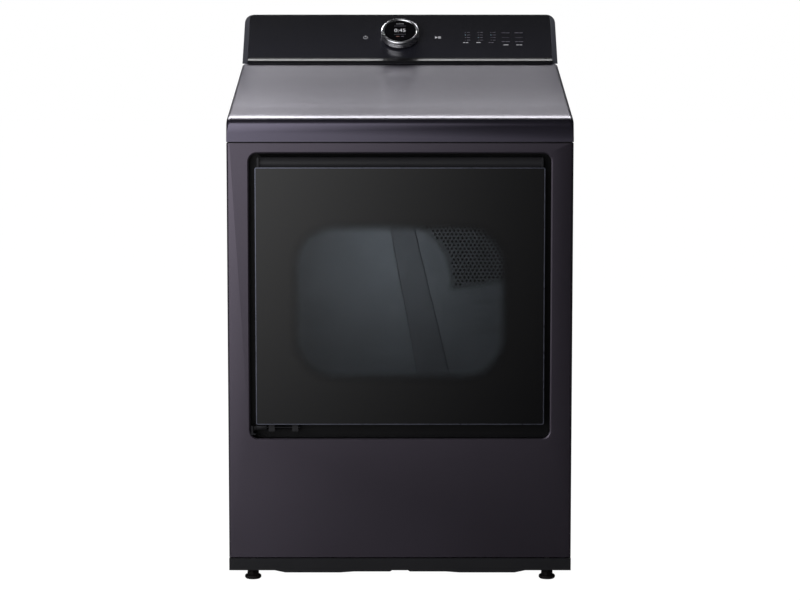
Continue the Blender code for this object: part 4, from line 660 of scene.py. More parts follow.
class DRYER_OT_rear(PieceOperator, bpy.types.Operator):
    """Back of the cabinet: louvres, ribs, screws, access cover, terminal cover and duct collar."""
    bl_idname = "dryer.rear"
    bl_label = "Rear"

    def execute(self, context):
        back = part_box("rear_panel")[1].y
        low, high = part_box("rear_lower_panel")[0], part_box("rear_panel")[1]
        refine("rear_access_cover", "galvanised", 0.0006)
        refine("terminal_cover", "galvanised", 0.0015)
        self.louvres(back, low, high)
        self.ribs(back, low, high)
        self.screws(back, low, high)
        self.duct_collar()
        return {"FINISHED"}

    def louvres(self, back, low, high):
        """Two columns of half-round louvres pressed out of the sheet."""
        whole = bmesh.new()
        count, pitch, length, radius, steps = 9, 0.022, 0.090, 0.0065, 6
        first, margin, flatness, lip = low.z + 0.420, 0.105, 0.8, 0.001
        for side in (-1, 1):
            left = side * (high.x - margin) - length / 2
            for number in range(count):
                z = first + number * pitch
                arc = [(left, back - TOUCH, z)]
                for step in range(steps + 1):
                    angle = math.pi / 2 * step / steps
                    arc.append((left, back + radius * math.sin(angle) * flatness,
                                z + radius * math.cos(angle)))
                arc.append((left, back - TOUCH, z - lip))
                gather(whole, pushed(arc, Vector((length, 0, 0))))
        soften(new_piece("rear_louvres", whole, "galvanised"), 0.0008)

    def ribs(self, back, low, high):
        """Long pressed ribs that stiffen the sheet."""
        whole = bmesh.new()
        half, radius, height, across = 0.012, 0.0115, 0.0022, 0.215
        below = (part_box("rear_panel")[0].z + 0.020, low.z + 0.380)
        above = (low.z + 0.640, high.z - 0.050)
        for x, (bottom, top) in ((-across, below), (across, below), (across, above)):
            gather(whole, pushed(rounded_box_outline(x - half, x + half, bottom, top, radius,
                                                     back - TOUCH), Vector((0, height, 0))))
        soften(new_piece("rear_ribs", whole, "galvanised"), 0.0016, 3)

    def screws(self, back, low, high):
        """Hex-head screws round the rear panel, its cover and the terminal cover."""
        places = []
        margin, cover_margin, end, spaces = 0.012, 0.008, 0.030, 4
        for step in range(spaces + 1):
            z = low.z + end + (high.z - low.z - 2 * end) * step / spaces
            places += [(low.x + margin, z, back), (high.x - margin, z, back)]
        for step in range(1, spaces):
            x = low.x + (high.x - low.x) * step / spaces
            places.append((x, high.z - margin, back))
        cover_low, cover_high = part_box("rear_access_cover")
        for x in (cover_low.x + cover_margin, cover_high.x - cover_margin):
            for share in (0.04, 0.5, 0.96):
                places.append((x, cover_low.z + (cover_high.z - cover_low.z) * share,
                               cover_high.y))
        block_low, block_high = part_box("terminal_cover")
        places.append(((block_low.x + block_high.x) / 2, block_high.z - margin, block_high.y))
        whole = bmesh.new()
        for x, z, y in places:
            gather(whole, screw_head((x, y - TOUCH, z)))
        new_piece("rear_screws", whole, "bare_steel")

    def duct_collar(self):
        """Beaded, slightly tapered end of the exhaust stub."""
        low, high, centre, radius = round_node("exhaust_duct")
        wall = 0.0012
        start, length, rise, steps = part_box("rear_panel")[1].y + 0.004, 0.005, 0.0018, 6
        outer = [(radius, low.y), (radius, start)]
        outer += [(radius + rise * math.sin(math.pi * step / steps),
                   start + length * step / steps) for step in range(1, steps + 1)]
        outer += [(radius, start + 0.008), (radius - wall, high.y)]
        inner = [(reach - wall, along) for reach, along in reversed(outer)]
        piece = new_piece("exhaust_duct_beaded",
                          turned(outer + inner, centre, BACKWARDS, 72, closed=True),
                          "galvanised")
        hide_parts("exhaust_duct")


def screw_head(place, radius=0.0042, height=0.0028):
    """Hex washer-head screw standing out backwards."""
    turn = Vector(BACKWARDS).to_track_quat("Z", "Y").to_matrix().to_4x4()
    where = Matrix.Translation(place) @ turn
    washer, thick, top, sunk = radius * 1.55, 0.0006, 0.0010, 0.0008
    shape = turned([(0, 0), (washer, 0), (washer, thick), (radius * 0.9, top), (0, top)],
                   place, BACKWARDS, 20)
    hexagon = bmesh.new()
    bmesh.ops.create_cone(hexagon, cap_ends=True, segments=6, radius1=radius,
                          radius2=radius * 0.94, depth=height,
                          matrix=where @ Matrix.Translation((0, 0, height / 2 + sunk)))
    return gather(shape, hexagon)


# ---- operators: console and dial -----------------------------------------------------------

class DRYER_OT_console(PieceOperator, bpy.types.Operator):
    """Console face with its flared foot, end caps and rear cover."""
    bl_idname = "dryer.console"
    bl_label = "Console"

    def execute(self, context):
        refine("console_fascia", "console_black", 0.0025, 3)
        for node in ("console_end_cap_left", "console_end_cap_right"):
            refine(node, "cap_plastic", 0.0030, 3)
        refine("console_rear_cover", "grey_plastic", 0.0012)
        self.foot_trim()
        return {"FINISHED"}

    def foot_trim(self):
        """The face's foot flares out in a shallow hollow curve."""
        height, reach, toe, heel, steps = 0.020, 0.0075, 0.0016, 0.0012, 12
        section = []
        for step in range(steps + 1):
            share = step / steps
            section.append((height * (1 - share) + toe * share, reach * share ** 2))
        section += [(heel, reach - 0.0008), (heel, -TOUCH), (height, -TOUCH)]
        half = CONSOLE.half - 0.0004
        outline = [CONSOLE.point(-half, up, out) for up, out in section]
        new_piece("console_foot_flare", pushed(outline, Vector((2 * half, 0, 0))),
                  "frame_plastic")


class Marks:
    """Thin printed shapes gathered into one piece per finish."""
    THICK = 0.00012

    def __init__(self):
        self.shapes = {}

    def add(self, finish, points):
        solid = pushed([CONSOLE.point(a, b, -TOUCH / 2) for a, b in points],
                       CONSOLE.out * (self.THICK + TOUCH / 2))
        self.shapes[finish] = gather(self.shapes.get(finish) or bmesh.new(), solid)

    def bar(self, finish, across, up, length, height):
        left, right, low, high = (across - length / 2, across + length / 2,
                                  up - height / 2, up + height / 2)
        corners = [(left, low), (right, low), (right, high), (left, high)]
        self.add(finish, round_corners(corners, [height * 0.3] * 4, 2))

    def words(self, finish, across, up, lengths, height, space=0.0011):
        """A line of print stood for by plain bars."""
        place = across - (sum(lengths) + space * (len(lengths) - 1)) / 2
        for length in lengths:
            self.bar(finish, place + length / 2, up, length, height)
            place += length + space

    def dot(self, finish, across, up, radius, sides=16):
        self.add(finish, [(across + radius * math.cos(math.tau * n / sides),
                           up + radius * math.sin(math.tau * n / sides)) for n in range(sides)])

    def arc(self, finish, across, up, radius, width, first, last, steps=28):
        """A curved stroke between two angles in degrees."""
        outer, inner = [], []
        for step in range(steps + 1):
            angle = math.radians(first + (last - first) * step / steps)
            for reach, points in ((radius + width / 2, outer), (radius - width / 2, inner)):
                points.append((across + reach * math.cos(angle), up + reach * math.sin(angle)))
        self.add(finish, outer + inner[::-1])

    def finish(self):
        for finish, shape in self.shapes.items():
            new_piece(f"console_{finish}s", shape, finish)


class DRYER_OT_marks(PieceOperator, bpy.types.Operator):
    """Signs, lamps and plain bars standing for print on the console."""
    bl_idname = "dryer.marks"
    bl_label = "Console marks"

    def execute(self, context):
        marks, length = Marks(), CONSOLE.length
        middle = 0.53 * length
        self.power(marks, -0.0757, middle)
        self.start(marks, 0.0817, middle)
        for number, across in enumerate((0.1437, 0.1719, 0.1998)):
            self.lamp_column(marks, number, across, length)
        for number, across in enumerate((0.2320, 0.2610)):
            self.option(marks, number, across, length)
        marks.finish()
        return {"FINISHED"}

    def power(self, marks, across, up):
        """Broken ring with an upright stroke."""
        marks.arc("white_mark", across, up, 0.0044, 0.0007, 125, 415)
        marks.bar("white_mark", across, up + 0.0036, 0.0007, 0.0046)

    def start(self, marks, across, up):
        """Triangle and two upright strokes."""
        size = 0.0036
        back = across - size * 1.3
        marks.add("white_mark", [(back, up - size), (back, up + size), (across + size * 0.3, up)])
        for step in (1.0, 1.7):
            marks.bar("white_mark", across + size * step, up, 0.0008, size * 2)

    def lamp_column(self, marks, number, across, length):
        """Four lamps with their bars, one of them lit, over a heading."""
        lit = (1, 2, 1)[number]
        for row in range(4):
            up = (LAMP_FIRST - LAMP_STEP * row) * length
            marks.dot("blue_mark" if row == lit else "dim_mark", across, up, 0.0009)
            marks.bar("dim_mark", across + 0.0068, up, 0.0070, 0.0010)
        label = "white_mark" if number < 2 else "dim_mark"
        marks.words(label, across, 0.4275 * length, ((0.0052, 0.0048), (0.0090,),
                                                     (0.0042, 0.0058))[number], 0.0015)

    def option(self, marks, number, across, length):
        """Lines of plain bars above and below a thin rule."""
        marks.words("dim_mark", across, 0.625 * length, (0.0090, 0.0080), 0.0013)
        marks.bar("dim_mark", across, 0.530 * length, 0.0160, 0.0003)
        marks.words("dim_mark", across, 0.446 * length, (0.0070, 0.0098), 0.0015)
        marks.words("white_mark", across, 0.380 * length, ((0.0110,), (0.0060, 0.0060))[number],
                    0.0015)


class DRYER_OT_dial(PieceOperator, bpy.types.Operator):
    """Turning ring with fine lines round its side, its foot and the lit display."""
    bl_idname = "dryer.dial"
    bl_label = "Dial"

    def execute(self, context):
        base, out = CONSOLE.dial, CONSOLE.out
        points = [vertex.co - base for vertex in NODES["dial_ring"].data.vertices]
        reach = [point.dot(out) for point in points]
        across = [(point - out * point.dot(out)).length for point in points]
        self.ring(base, out, min(across), max(across), min(reach), max(reach),
                  context.scene.dryer_details.dial_grooves)
        refine("dial_base", "black_plastic", 0.0008)
        top = max((vertex.co - base).dot(out) for vertex in NODES["dial_display"].data.vertices)
        self.display(top)
        return {"FINISHED"}

    def ring(self, base, out, inner, radius, low, high, grooves):
        side = [(inner, low), (radius - 0.0008, low), (radius, low + 0.0008)]
        pitch, depth = (high - low - 0.006) / (grooves + 1), 0.00045
        for number in range(grooves):
            middle = low + 0.0012 + pitch * (number + 1)
            side += [(radius, middle - 0.0006), (radius - depth, middle - 0.0003),
                     (radius - depth, middle + 0.0003), (radius, middle + 0.0006)]
        top = high - 0.0005
        side += [(radius, top - 0.0024), (radius - 0.0004, top - 0.0011),
                 (radius - 0.0014, top - 0.0002), (radius - 0.0026, high)]
        side += [(inner + 0.0020, high - 0.0001), (inner + 0.0006, top - 0.0006),
                 (inner, top - 0.0016)]
        piece = new_piece("dial_ring_grooved", turned(side, base, out, 144, closed=True),
                          "brushed_ring", "dial_ring", math.radians(25))
        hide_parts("dial_ring")
        pointer = bmesh.new()
        bmesh.ops.create_cube(pointer, size=1.0, matrix=CONSOLE.matrix(
            0, (base - CONSOLE.foot).dot(CONSOLE.up) + (inner + radius) / 2, high)
            @ Matrix.Diagonal((0.0009, 0.0030, 0.0004, 1.0)))
        new_piece("dial_ring_pointer", pointer, "black_plastic", "dial_ring")

    def display(self, top):
        """Digits, dots and short bars glowing through the black disc."""
        up = (CONSOLE.dial - CONSOLE.foot).dot(CONSOLE.up)
        thin = 0.00005
        flat = CONSOLE.matrix(0, up, top + thin)
        digits = bpy.data.curves.new("dial_digits", "FONT")
        digits.body, digits.size = "0:45", 0.0150
        digits.align_x, digits.align_y = "CENTER", "CENTER"
        digits.extrude, digits.resolution_u = thin, 3
        holder = bpy.data.objects.new("dial_digits_text", digits)
        bpy.context.scene.collection.objects.link(holder)
        graph = bpy.context.evaluated_depsgraph_get()
        mesh = bpy.data.meshes.new_from_object(holder.evaluated_get(graph))
        bpy.data.objects.remove(holder)
        shape = bmesh.new()
        shape.from_mesh(mesh)
        bpy.data.meshes.remove(mesh)
        bmesh.ops.transform(shape, matrix=flat, verts=shape.verts[:])
        new_piece("dial_digits", shape, "white_mark")

        marks = {"white_mark": bmesh.new(), "amber_mark": bmesh.new(), "dim_mark": bmesh.new()}

        def bar(finish, across, height, length, thick=0.0014):
            piece = bmesh.new()
            bmesh.ops.create_cube(piece, size=1.0, matrix=flat @ Matrix.Translation(
                (across, height, 0)) @ Matrix.Diagonal((length, thick, 2 * thin, 1.0)))
            gather(marks[finish], piece)

        pitch = 0.0044
        for number in range(4):
            bar("white_mark", -0.0066 + pitch * number, 0.0220, 0.0016, 0.0016)
        for number in range(6):
            bar("dim_mark", -0.0110 + pitch * number, 0.0150, 0.0026, 0.0008)
            bar("dim_mark", -0.0110 + pitch * number, -0.0125, 0.0026, 0.0008)
        bar("amber_mark", -0.0050, -0.0195, 0.0070)
        bar("dim_mark", 0.0052, -0.0195, 0.0060)
        for finish, shape in marks.items():
            new_piece(f"dial_{finish}s", shape, finish)


# ---- operators: door -----------------------------------------------------------------------

class DRYER_OT_door(PieceOperator, bpy.types.Operator):
    """Glass with its metal edge, partly a painted highlight, frame with finger pull, liner,
    window, gasket and strike.
    """
    bl_idname = "dryer.door"
    bl_label = "Door"

    def execute(self, context):
        trim = context.scene.dryer_details.glass_trim
        refine("door_glass", "smoked_glass", 0.0012, 2)
        self.edge_trim(trim)
        refine("door_frame", "frame_plastic", 0.0008, 2)
        refine("door_inner_liner", "grey_plastic", 0.0012, 3)
        refine("door_window", "clear_glass", 0.0010)
        refine("door_gasket", "rubber", 0.0016, 3)
        refine("door_strike", "bare_steel", 0.0010, 3)
        refine("latch_receiver", "black_plastic", 0.0008)
        self.liner_screws()
        return {"FINISHED"}

    def edge_trim(self, width):
        # the trim round the glass is partly a painted highlight: its lighter metal stands for the
        # glint on the glass's bevelled edge
        low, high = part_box("door_glass")
        over, front, depth, radius = 0.0003, FACE_Y - 0.0004, 0.0022, 0.0035
        outer = rounded_box_outline(low.x - over, high.x + over, low.z - over, high.z + over,
                                    radius, front, 4)
        inner = rounded_box_outline(low.x + width, high.x - width, low.z + width,
                                    high.z - width, radius - width, front, 4)
        soften(new_piece("door_glass_trim_highlight", band(outer, inner, Vector((0, depth, 0))),
                         "edge_metal_highlight", "door"), 0.0003)

    def liner_screws(self):
        """Screws that hold the inner liner on the frame."""
        low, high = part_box("door_inner_liner")
        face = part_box("door_gasket")[0].y - 0.0003
        whole, margin = bmesh.new(), 0.014
        for x in (low.x + margin, 0.0, high.x - margin):
            for z in (low.z + margin, high.z - margin):
                gather(whole, screw_head((x, face - TOUCH, z), 0.0032, 0.0020))
        new_piece("door_liner_screws", whole, "bare_steel", "door")


class DRYER_OT_hinge(PieceOperator, bpy.types.Operator):
    """Hinge bracket and knuckle."""
    bl_idname = "dryer.hinge"
    bl_label = "Hinge"

    def execute(self, context):
        refine("door_hinge_bracket", "black_metal", 0.0005, 2)
        refine("hinge_knuckle", "black_metal", 0.0004, 2)
        return {"FINISHED"}


# ---- operators: drum and back wall ---------------------------------------------------------

class DRYER_OT_drum(PieceOperator, bpy.types.Operator):
    """Drum skin with rolled beads, and its three moulded baffles."""
    bl_idname = "dryer.drum"
    bl_label = "Drum"

    def execute(self, context):
        low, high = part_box("drum")
        centre = Vector((0, 0, (low.z + high.z) / 2))
        outer = high.x
        skin, rise, half, steps = outer - 0.001, 0.0022, 0.006, 8
        beads = (high.y - 0.055, high.y - 0.180, low.y + 0.180, low.y + 0.055)
        profile = [(outer, low.y), (outer, high.y), (skin, high.y)]
        for place in beads:
            for step in range(steps + 1):
                angle = math.pi * step / steps
                profile.append((skin - rise * math.sin(angle), place + half * math.cos(angle)))
        profile.append((skin, low.y))
        piece = new_piece("drum_skin", turned(profile, centre, BACKWARDS, 144, closed=True),
                          "drum_steel", "drum")
        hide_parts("drum")
        for number in (1, 2, 3):
            refine(f"drum_baffle_{number}", "grey_plastic", 0.0050, 4)
        return {"FINISHED"}


class DRYER_OT_back_wall(PieceOperator, bpy.types.Operator):
    """Back of the drum space: a pressed band and the perforated hot air grille."""
    bl_idname = "dryer.back_wall"
    bl_label = "Back wall"

    def execute(self, context):
        low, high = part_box("inlet_grille")
        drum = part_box("drum")
        self.axis = (drum[0].z + drum[1].z) / 2
        self.grille(low.y, high.y, context.scene.dryer_details)
        self.pressed_band(high.y)
        return {"FINISHED"}

    def polar(self, radius, degrees, y):
        angle = math.radians(degrees)
        return Vector((radius * math.cos(angle), y, self.axis + radius * math.sin(angle)))

    def inner_radius(self, degrees):
        share = (degrees - GRILLE_FROM) / (GRILLE_TO - GRILLE_FROM)
        return GRILLE_INNER[0] + (GRILLE_INNER[1] - GRILLE_INNER[0]) * share

    def outline(self, inset, y, corner=0.012):
        """Ring sector with rounded corners."""
        steps = 12
        turn = math.degrees(inset / GRILLE_OUTER)
        first, last = GRILLE_FROM + turn, GRILLE_TO - turn
        outer = [self.polar(GRILLE_OUTER - inset, first + (last - first) * n / steps, y)
                 for n in range(steps + 1)]
        first, last = GRILLE_TO - turn * 1.6, GRILLE_FROM + turn * 2.2
        inner = []
        for n in range(steps + 1):
            degrees = first + (last - first) * n / steps
            inner.append(self.polar(self.inner_radius(degrees) + inset, degrees, y))
        points = [(point.x, point.z) for point in outer + inner]
        radii = [0.0] * len(points)
        for number in (0, steps, steps + 1, 2 * steps + 1):
            radii[number] = corner
        return [Vector((a, y, b)) for a, b in round_corners(points, radii, 4)]

    def grille(self, front, back, details):
        plate = new_piece("hot_air_grille", pushed(self.outline(0.0, front),
                                                   Vector((0, back - front, 0))),
                          "grille_steel")
        holes, pitch, row = bmesh.new(), details.hole_pitch, 0
        height = self.axis + 0.02
        while height < self.axis + GRILLE_OUTER:
            across = 0.0 if row % 2 else pitch / 2
            while across < GRILLE_OUTER:
                offset = Vector((across, height - self.axis))
                degrees = math.degrees(math.atan2(offset.y, offset.x))
                radius = offset.length
                swing = math.degrees(GRILLE_EDGE / max(radius, GRILLE_EDGE))
                if (GRILLE_FROM + swing < degrees < GRILLE_TO - swing
                        and self.inner_radius(degrees) + GRILLE_EDGE < radius
                        < GRILLE_OUTER - GRILLE_EDGE):
                    bmesh.ops.create_cone(
                        holes, cap_ends=True, segments=8, radius1=details.hole_radius,
                        radius2=details.hole_radius, depth=0.01,
                        matrix=Matrix.Translation((across, (front + back) / 2, height))
                        @ Matrix.Rotation(math.pi / 2, 4, "X"))
                across += pitch
            height += pitch * math.sqrt(3) / 2
            row += 1
        carve(plate, holes)
        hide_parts("inlet_grille")
        proud, rim_out, rim_in = front - 0.0016, -0.0015, 0.0045
        rim = band(self.outline(rim_out, proud), self.outline(rim_in, proud),
                   Vector((0, 0.0020, 0)))
        soften(new_piece("hot_air_grille_rim", rim, "shaded_wall_steel"), 0.0006)

    def pressed_band(self, wall):
        """A long pressed band that runs down across the wall, wider at its foot; its darker steel
        is painted shade of the pressing.
        """
        start, end = Vector((-0.015, 0.255)), Vector((0.080, -0.190))
        half, height = 0.024, 0.004
        side = Vector((end.y - start.y, start.x - end.x)).normalized() * half
        corners = [start + side, start - side, end - side * 1.5, end + side * 1.5]
        outline = [Vector((a, wall - height, self.axis + b)) for a, b in
                   round_corners([tuple(corner) for corner in corners], [half / 2] * 4)]
        soften(new_piece("wall_band", pushed(outline, Vector((0, height + TOUCH, 0))),
                         "shaded_wall_steel"), 0.0036, 4)


# ---- operators: inner pieces ---------------------------------------------------------------

class DRYER_OT_inner_pieces(PieceOperator, bpy.types.Operator):
    """Rounded edges on the drive, air path and control pieces."""
    bl_idname = "dryer.inner_pieces"
    bl_label = "Inner pieces"

    def execute(self, context):
        edges = {
            "lint_filter_frame": ("grey_plastic", 0.0010), "lint_duct": ("grey_plastic", 0.0010),
            "blower_housing": ("grey_plastic", 0.0010), "blower_wheel": ("grey_plastic", 0.0004),
            "heater_duct": ("sooted_steel", 0.0008), "motor_bracket": ("galvanised", 0.0004),
            "idler_arm": ("galvanised", 0.0004), "idler_pulley": ("grey_plastic", 0.0004),
        }
        for node, (finish, width) in edges.items():
            refine(node, finish, width)
        self.motor()
        self.rollers()
        self.board_parts()
        return {"FINISHED"}

    def motor(self):
        """Cooling slots round the motor's two ends."""
        low, high, centre, radius = round_node("motor_housing")
        motor = new_piece("motor_housing_finished", welded("motor_housing"), "galvanised")
        slots, count, from_end = bmesh.new(), 10, 0.030
        across, along, depth = 0.007, 0.005, 0.004
        for number in range(count):
            angle = math.tau * (number + 0.5) / count
            for y in (low.y + from_end, high.y - from_end):
                slot = block((-across, -along, radius - depth), (across, along, radius + depth))
                bmesh.ops.transform(slot, verts=slot.verts[:], matrix=Matrix.Translation(
                    (centre.x, y, centre.z)) @ Matrix.Rotation(angle, 4, "Y"))
                gather(slots, slot)
        carve(motor, slots)
        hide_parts("motor_housing")

    def rollers(self):
        """Rubber tyres on moulded hubs."""
        for node in [name for name in NODES if name.startswith("drum_roller_")]:
            low, high, centre, radius = round_node(node)
            rim, hub, bore, edge = radius - 0.0075, 0.0120, 0.0054, 0.0015
            tyre = [(rim, low.y), (radius - edge, low.y), (radius, low.y + edge),
                    (radius, high.y - edge), (radius - edge, high.y), (rim, high.y)]
            piece = new_piece(f"{node}_tyre", turned(tyre, centre, BACKWARDS, 64, closed=True),
                              "rubber", body_of(node))
            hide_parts(node)
            web, sunk, well = 0.006, 0.001, rim - 0.004
            wheel = [(bore, low.y), (hub, low.y), (hub, low.y + web), (well, low.y + web),
                     (well, low.y + sunk), (rim + TOUCH, low.y + sunk),
                     (rim + TOUCH, high.y - sunk), (well, high.y - sunk),
                     (well, high.y - web), (hub, high.y - web), (hub, high.y), (bore, high.y)]
            new_piece(f"{node}_hub", turned(wheel, centre, BACKWARDS, 48, closed=True),
                      "grey_plastic", body_of(node))

    def board_parts(self):
        """Relays and a connector on the control board."""
        low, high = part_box("control_board")
        half, middle = (high - low) / 2, (low + high) / 2
        board_up = (middle - CONSOLE.foot).dot(CONSOLE.up)
        board_out = (middle - CONSOLE.foot).dot(CONSOLE.out)
        reach, gap = 0.040, 0.0005
        whole = bmesh.new()
        for across, up, size in ((-0.7, 0.2, (0.018, 0.014, 0.0080)),
                                 (-0.5, 0.2, (0.018, 0.014, 0.0080)),
                                 (0.1, -0.3, (0.012, 0.012, 0.0030)),
                                 (0.6, 0.1, (0.040, 0.008, 0.0070))):
            part = bmesh.new()
            bmesh.ops.create_cube(part, size=1.0, matrix=CONSOLE.matrix(0, 0)
                                  @ Matrix.Translation((middle.x + across * half.x,
                                                        board_up + up * reach,
                                                        board_out - size[2] / 2 - gap))
                                  @ Matrix.Diagonal((*size, 1.0)))
            gather(whole, part)
        soften(new_piece("control_board_parts", whole, "black_plastic"),
               0.0006)


class DRYER_OT_feet(PieceOperator, bpy.types.Operator):
    """Levelling feet: moulded pad, threaded stem and hex flats for a wrench."""
    bl_idname = "dryer.feet"
    bl_label = "Feet"

    def execute(self, context):
        for node in [name for name in NODES if name.startswith("leveling_leg_")]:
            low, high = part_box(node)
            centre = Vector(((low.x + high.x) / 2, (low.y + high.y) / 2, 0))
            radius = (high.x - low.x) / 2
            top, collar, end = 0.0083, 0.0160, 0.0205
            pad = [(0, 0), (radius - 0.0025, 0), (radius, 0.0025), (radius, 0.0062),
                   (radius - 0.0018, 0.0080), (radius - 0.0030, top), (0, top)]
            shape = turned(pad, centre, UPWARDS, 48)
            for sides, span, bottom, height in ((6, radius * 0.80, top, collar),
                                                (24, 0.0088, collar, end)):
                part = bmesh.new()
                bmesh.ops.create_cone(part, cap_ends=True, segments=sides, radius1=span,
                                      radius2=span * 0.97, depth=height - bottom + 2 * TOUCH,
                                      matrix=Matrix.Translation(
                                          centre + Vector((0, 0, (height + bottom) / 2))))
                gather(shape, part)
            piece = new_piece(f"{node}_pad", shape, "foot_plastic", body_of(node))
            soften(piece, 0.0005)
            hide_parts(node)
            crest, root, pitch = 0.0050, 0.0043, 0.0012
            stem, height = [(0, 0.0190)], 0.0200
            while height < high.z - 0.0020:
                stem += [(crest, height), (root, height + pitch / 2)]
                height += pitch
            stem += [(root, high.z - 0.0010), (0.0035, high.z), (0, high.z)]
            new_piece(f"{node}_stem", turned(stem, centre, UPWARDS, 24), "bare_steel",
                      body_of(node))
        return {"FINISHED"}


# ---- operators: stage ----------------------------------------------------------------------

class DRYER_OT_stage(PieceOperator, bpy.types.Operator):
    """White surroundings, soft lights and the camera."""
    bl_idname = "dryer.stage"
    bl_label = "Stage"

    def execute(self, context):
        settings = context.scene.dryer_stage
        context.scene.view_settings.view_transform = "Standard"
        self.world(context.scene, settings.room)
        self.floor()
        self.card(settings.card_power)
        ahead = FACE_Y - 2.0
        self.area("key_light", (-2.2, ahead, 2.2), (0, FACE_Y, 0.65), 1.6, settings.key_power)
        self.area("top_light", (-0.2, 2.0, 2.9), (0, 0, 1.0), 3.0, settings.top_power, 0.7)
        self.area("top_left_light", (-1.15, 2.0, 2.9), (-0.3, 0, 1.0), 1.3,
                  settings.top_power * 0.3, 0.7)
        self.area("fill_light", (2.6, ahead, 1.2), (0.2, FACE_Y, 0.5), 1.6, settings.fill_power)
        self.drum_lamp(settings.drum_power)
        self.camera(context.scene, settings)
        return {"FINISHED"}

    def drum_lamp(self, power):
        """A small cool light that shows the drum through the door glass."""
        lamp = bpy.data.lights.new("drum_lamp", "POINT")
        lamp.energy, lamp.shadow_soft_size, lamp.color = power, 0.008, (0.86, 0.93, 1.0)
        holder = bpy.data.objects.new("drum_lamp", lamp)
        holder.location = (-0.03, -0.24, 0.57)
        holder.visible_camera = False
        bpy.context.scene.collection.objects.link(holder)

    def world(self, scene, room):
        """White to the camera, a dim room to everything else."""
        world = bpy.data.worlds.new("white_room")
        world.use_nodes = True
        world.node_tree.nodes.clear()
        wires = Wiring(world.node_tree)
        dim, bright = (wires.node("ShaderNodeBackground", {"Color": WHITE, "Strength": strength})
                       for strength in (room, 1.0))
        mix = wires.node("ShaderNodeMixShader", {0: wires.to_camera(), 1: dim.outputs[0],
                                                 2: bright.outputs[0]})
        wires.node("ShaderNodeOutputWorld", {"Surface": mix.outputs[0]})
        scene.world = world

    def sheet(self, name, matrix, size=1.0):
        """A flat square that belongs to the surroundings."""
        mesh = bpy.data.meshes.new(name)
        shape = bmesh.new()
        bmesh.ops.create_grid(shape, x_segments=1, y_segments=1, size=size, matrix=matrix)
        shape.to_mesh(mesh)
        shape.free()
        sheet = bpy.data.objects.new(name, mesh)
        bpy.context.scene.collection.objects.link(sheet)
        return sheet

    def floor(self):
        """White to the camera, with a faint share that takes the feet's shadows."""
        sheet = self.sheet("floor", Matrix.Translation((0, 0, -0.0005)), 20.0)
        finish = Finish("floor_white", (0.40, 0.40, 0.40), 0.7)
        white = finish.node("ShaderNodeEmission", {"Strength": 1.25})
        share = finish.maths("MULTIPLY", finish.to_camera(), 0.80)
        mix = finish.node("ShaderNodeMixShader", {0: share, 1: finish.shader.outputs[0],
                                                  2: white.outputs[0]})
        out = finish.tree.nodes["Material Output"]
        finish.tree.links.new(mix.outputs[0], out.inputs["Surface"])
        sheet.data.materials.append(finish.material)

    def card(self, power):
        """A card in front, brightest at its upper left, that shows only in reflections."""
        card = self.sheet("graded_card", (
            Matrix.Translation((-1.4, FACE_Y - 1.9, 1.25))
            @ Matrix.Rotation(math.pi / 2, 4, "X") @ Matrix.Diagonal((1.9, 1.25, 1, 1))))
        card.visible_camera = card.visible_shadow = False
        material = bpy.data.materials.new("card_glow")
        material.use_nodes = True
        material.node_tree.nodes.clear()
        wires = Wiring(material.node_tree)
        place = wires.node("ShaderNodeTexCoord").outputs["Object"]
        parts = wires.node("ShaderNodeSeparateXYZ", {0: place})
        across, up = (wires.spread(parts.outputs[axis], 0.06, 1.0, low, high, "SMOOTHSTEP")
                      for axis, low, high in (("X", 0.55, -1.25), ("Z", -0.60, 1.10)))
        strength = wires.maths("MULTIPLY", wires.maths("MULTIPLY", across, up), power)
        glow = wires.node("ShaderNodeEmission", {"Strength": strength})
        wires.node("ShaderNodeOutputMaterial", {"Surface": glow.outputs[0]})
        card.data.materials.append(material)

    def area(self, name, place, aim, size, power, height=None):
        light = bpy.data.lights.new(name, "AREA")
        light.shape, light.energy = "RECTANGLE", power
        light.size, light.size_y = size, height or size
        holder = bpy.data.objects.new(name, light)
        holder.location = place
        holder.rotation_euler = (Vector(aim) - Vector(place)).to_track_quat("-Z", "Y").to_euler()
        bpy.context.scene.collection.objects.link(holder)

    def camera(self, scene, settings):
        data = bpy.data.cameras.new("camera")
        data.lens = settings.lens
        camera = bpy.data.objects.new("camera", data)
        scene.collection.objects.link(camera)
        place = Vector((0, FACE_Y - settings.camera_distance, settings.camera_height))
        aim = Vector((0, FACE_Y, settings.aim_height))
        camera.location = place
        camera.rotation_euler = (aim - place).to_track_quat("-Z", "Y").to_euler()
        scene.camera = camera


# ---- panel and registration ----------------------------------------------------------------

PIECES = (DRYER_OT_finishes, DRYER_OT_cabinet, DRYER_OT_rear, DRYER_OT_console, DRYER_OT_marks,
          DRYER_OT_dial, DRYER_OT_door, DRYER_OT_hinge, DRYER_OT_drum, DRYER_OT_back_wall,
          DRYER_OT_inner_pieces, DRYER_OT_feet, DRYER_OT_stage)


class DRYER_PT_builder(bpy.types.Panel):
    """Lists the builder's steps and its settings."""
    bl_idname = "DRYER_PT_builder"
    bl_label = "Clothes dryer"
    bl_space_type = "VIEW_3D"
    bl_region_type = "UI"
    bl_category = "Dryer"

    def draw(self, context):
        for operator in PIECES:
            self.layout.operator(operator.bl_idname)
        for name, group in SETTINGS.items():
            box = self.layout.box()
            for prop in group.__annotations__:
                box.prop(getattr(context.scene, name), prop)


SETTINGS = {"dryer_stage": DryerStageSettings, "dryer_paint": DryerPaintSettings,
            "dryer_details": DryerDetailSettings}


def register():
    for kind in (*SETTINGS.values(), *PIECES, DRYER_PT_builder):
        bpy.utils.register_class(kind)
    for name, group in SETTINGS.items():
        setattr(bpy.types.Scene, name, PointerProperty(type=group))


def unregister():
    for name in SETTINGS:
        delattr(bpy.types.Scene, name)
    for kind in reversed((*SETTINGS.values(), *PIECES, DRYER_PT_builder)):
        bpy.utils.unregister_class(kind)


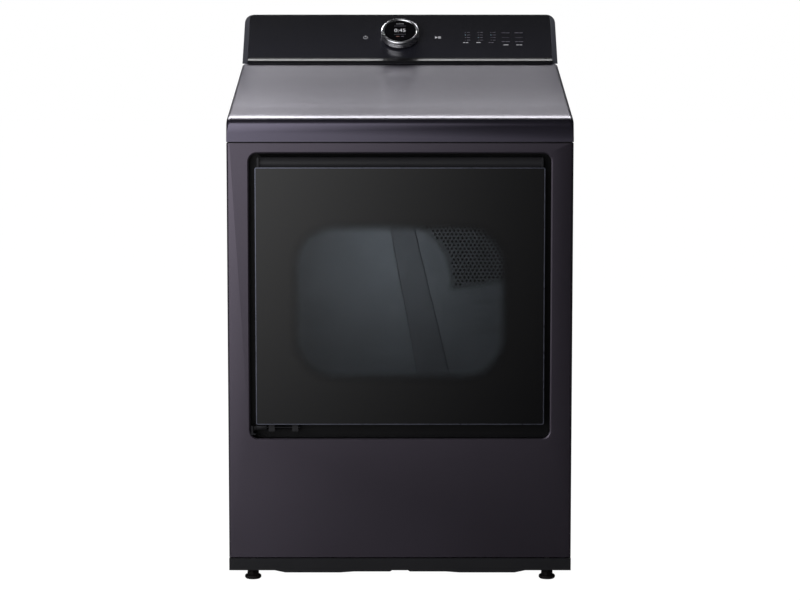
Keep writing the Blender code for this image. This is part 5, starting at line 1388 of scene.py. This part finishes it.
def main():
    register()
    for operator in PIECES:
        family, name = operator.bl_idname.split(".")
        getattr(getattr(bpy.ops, family), name)()


if __name__ == "__main__":
    main()
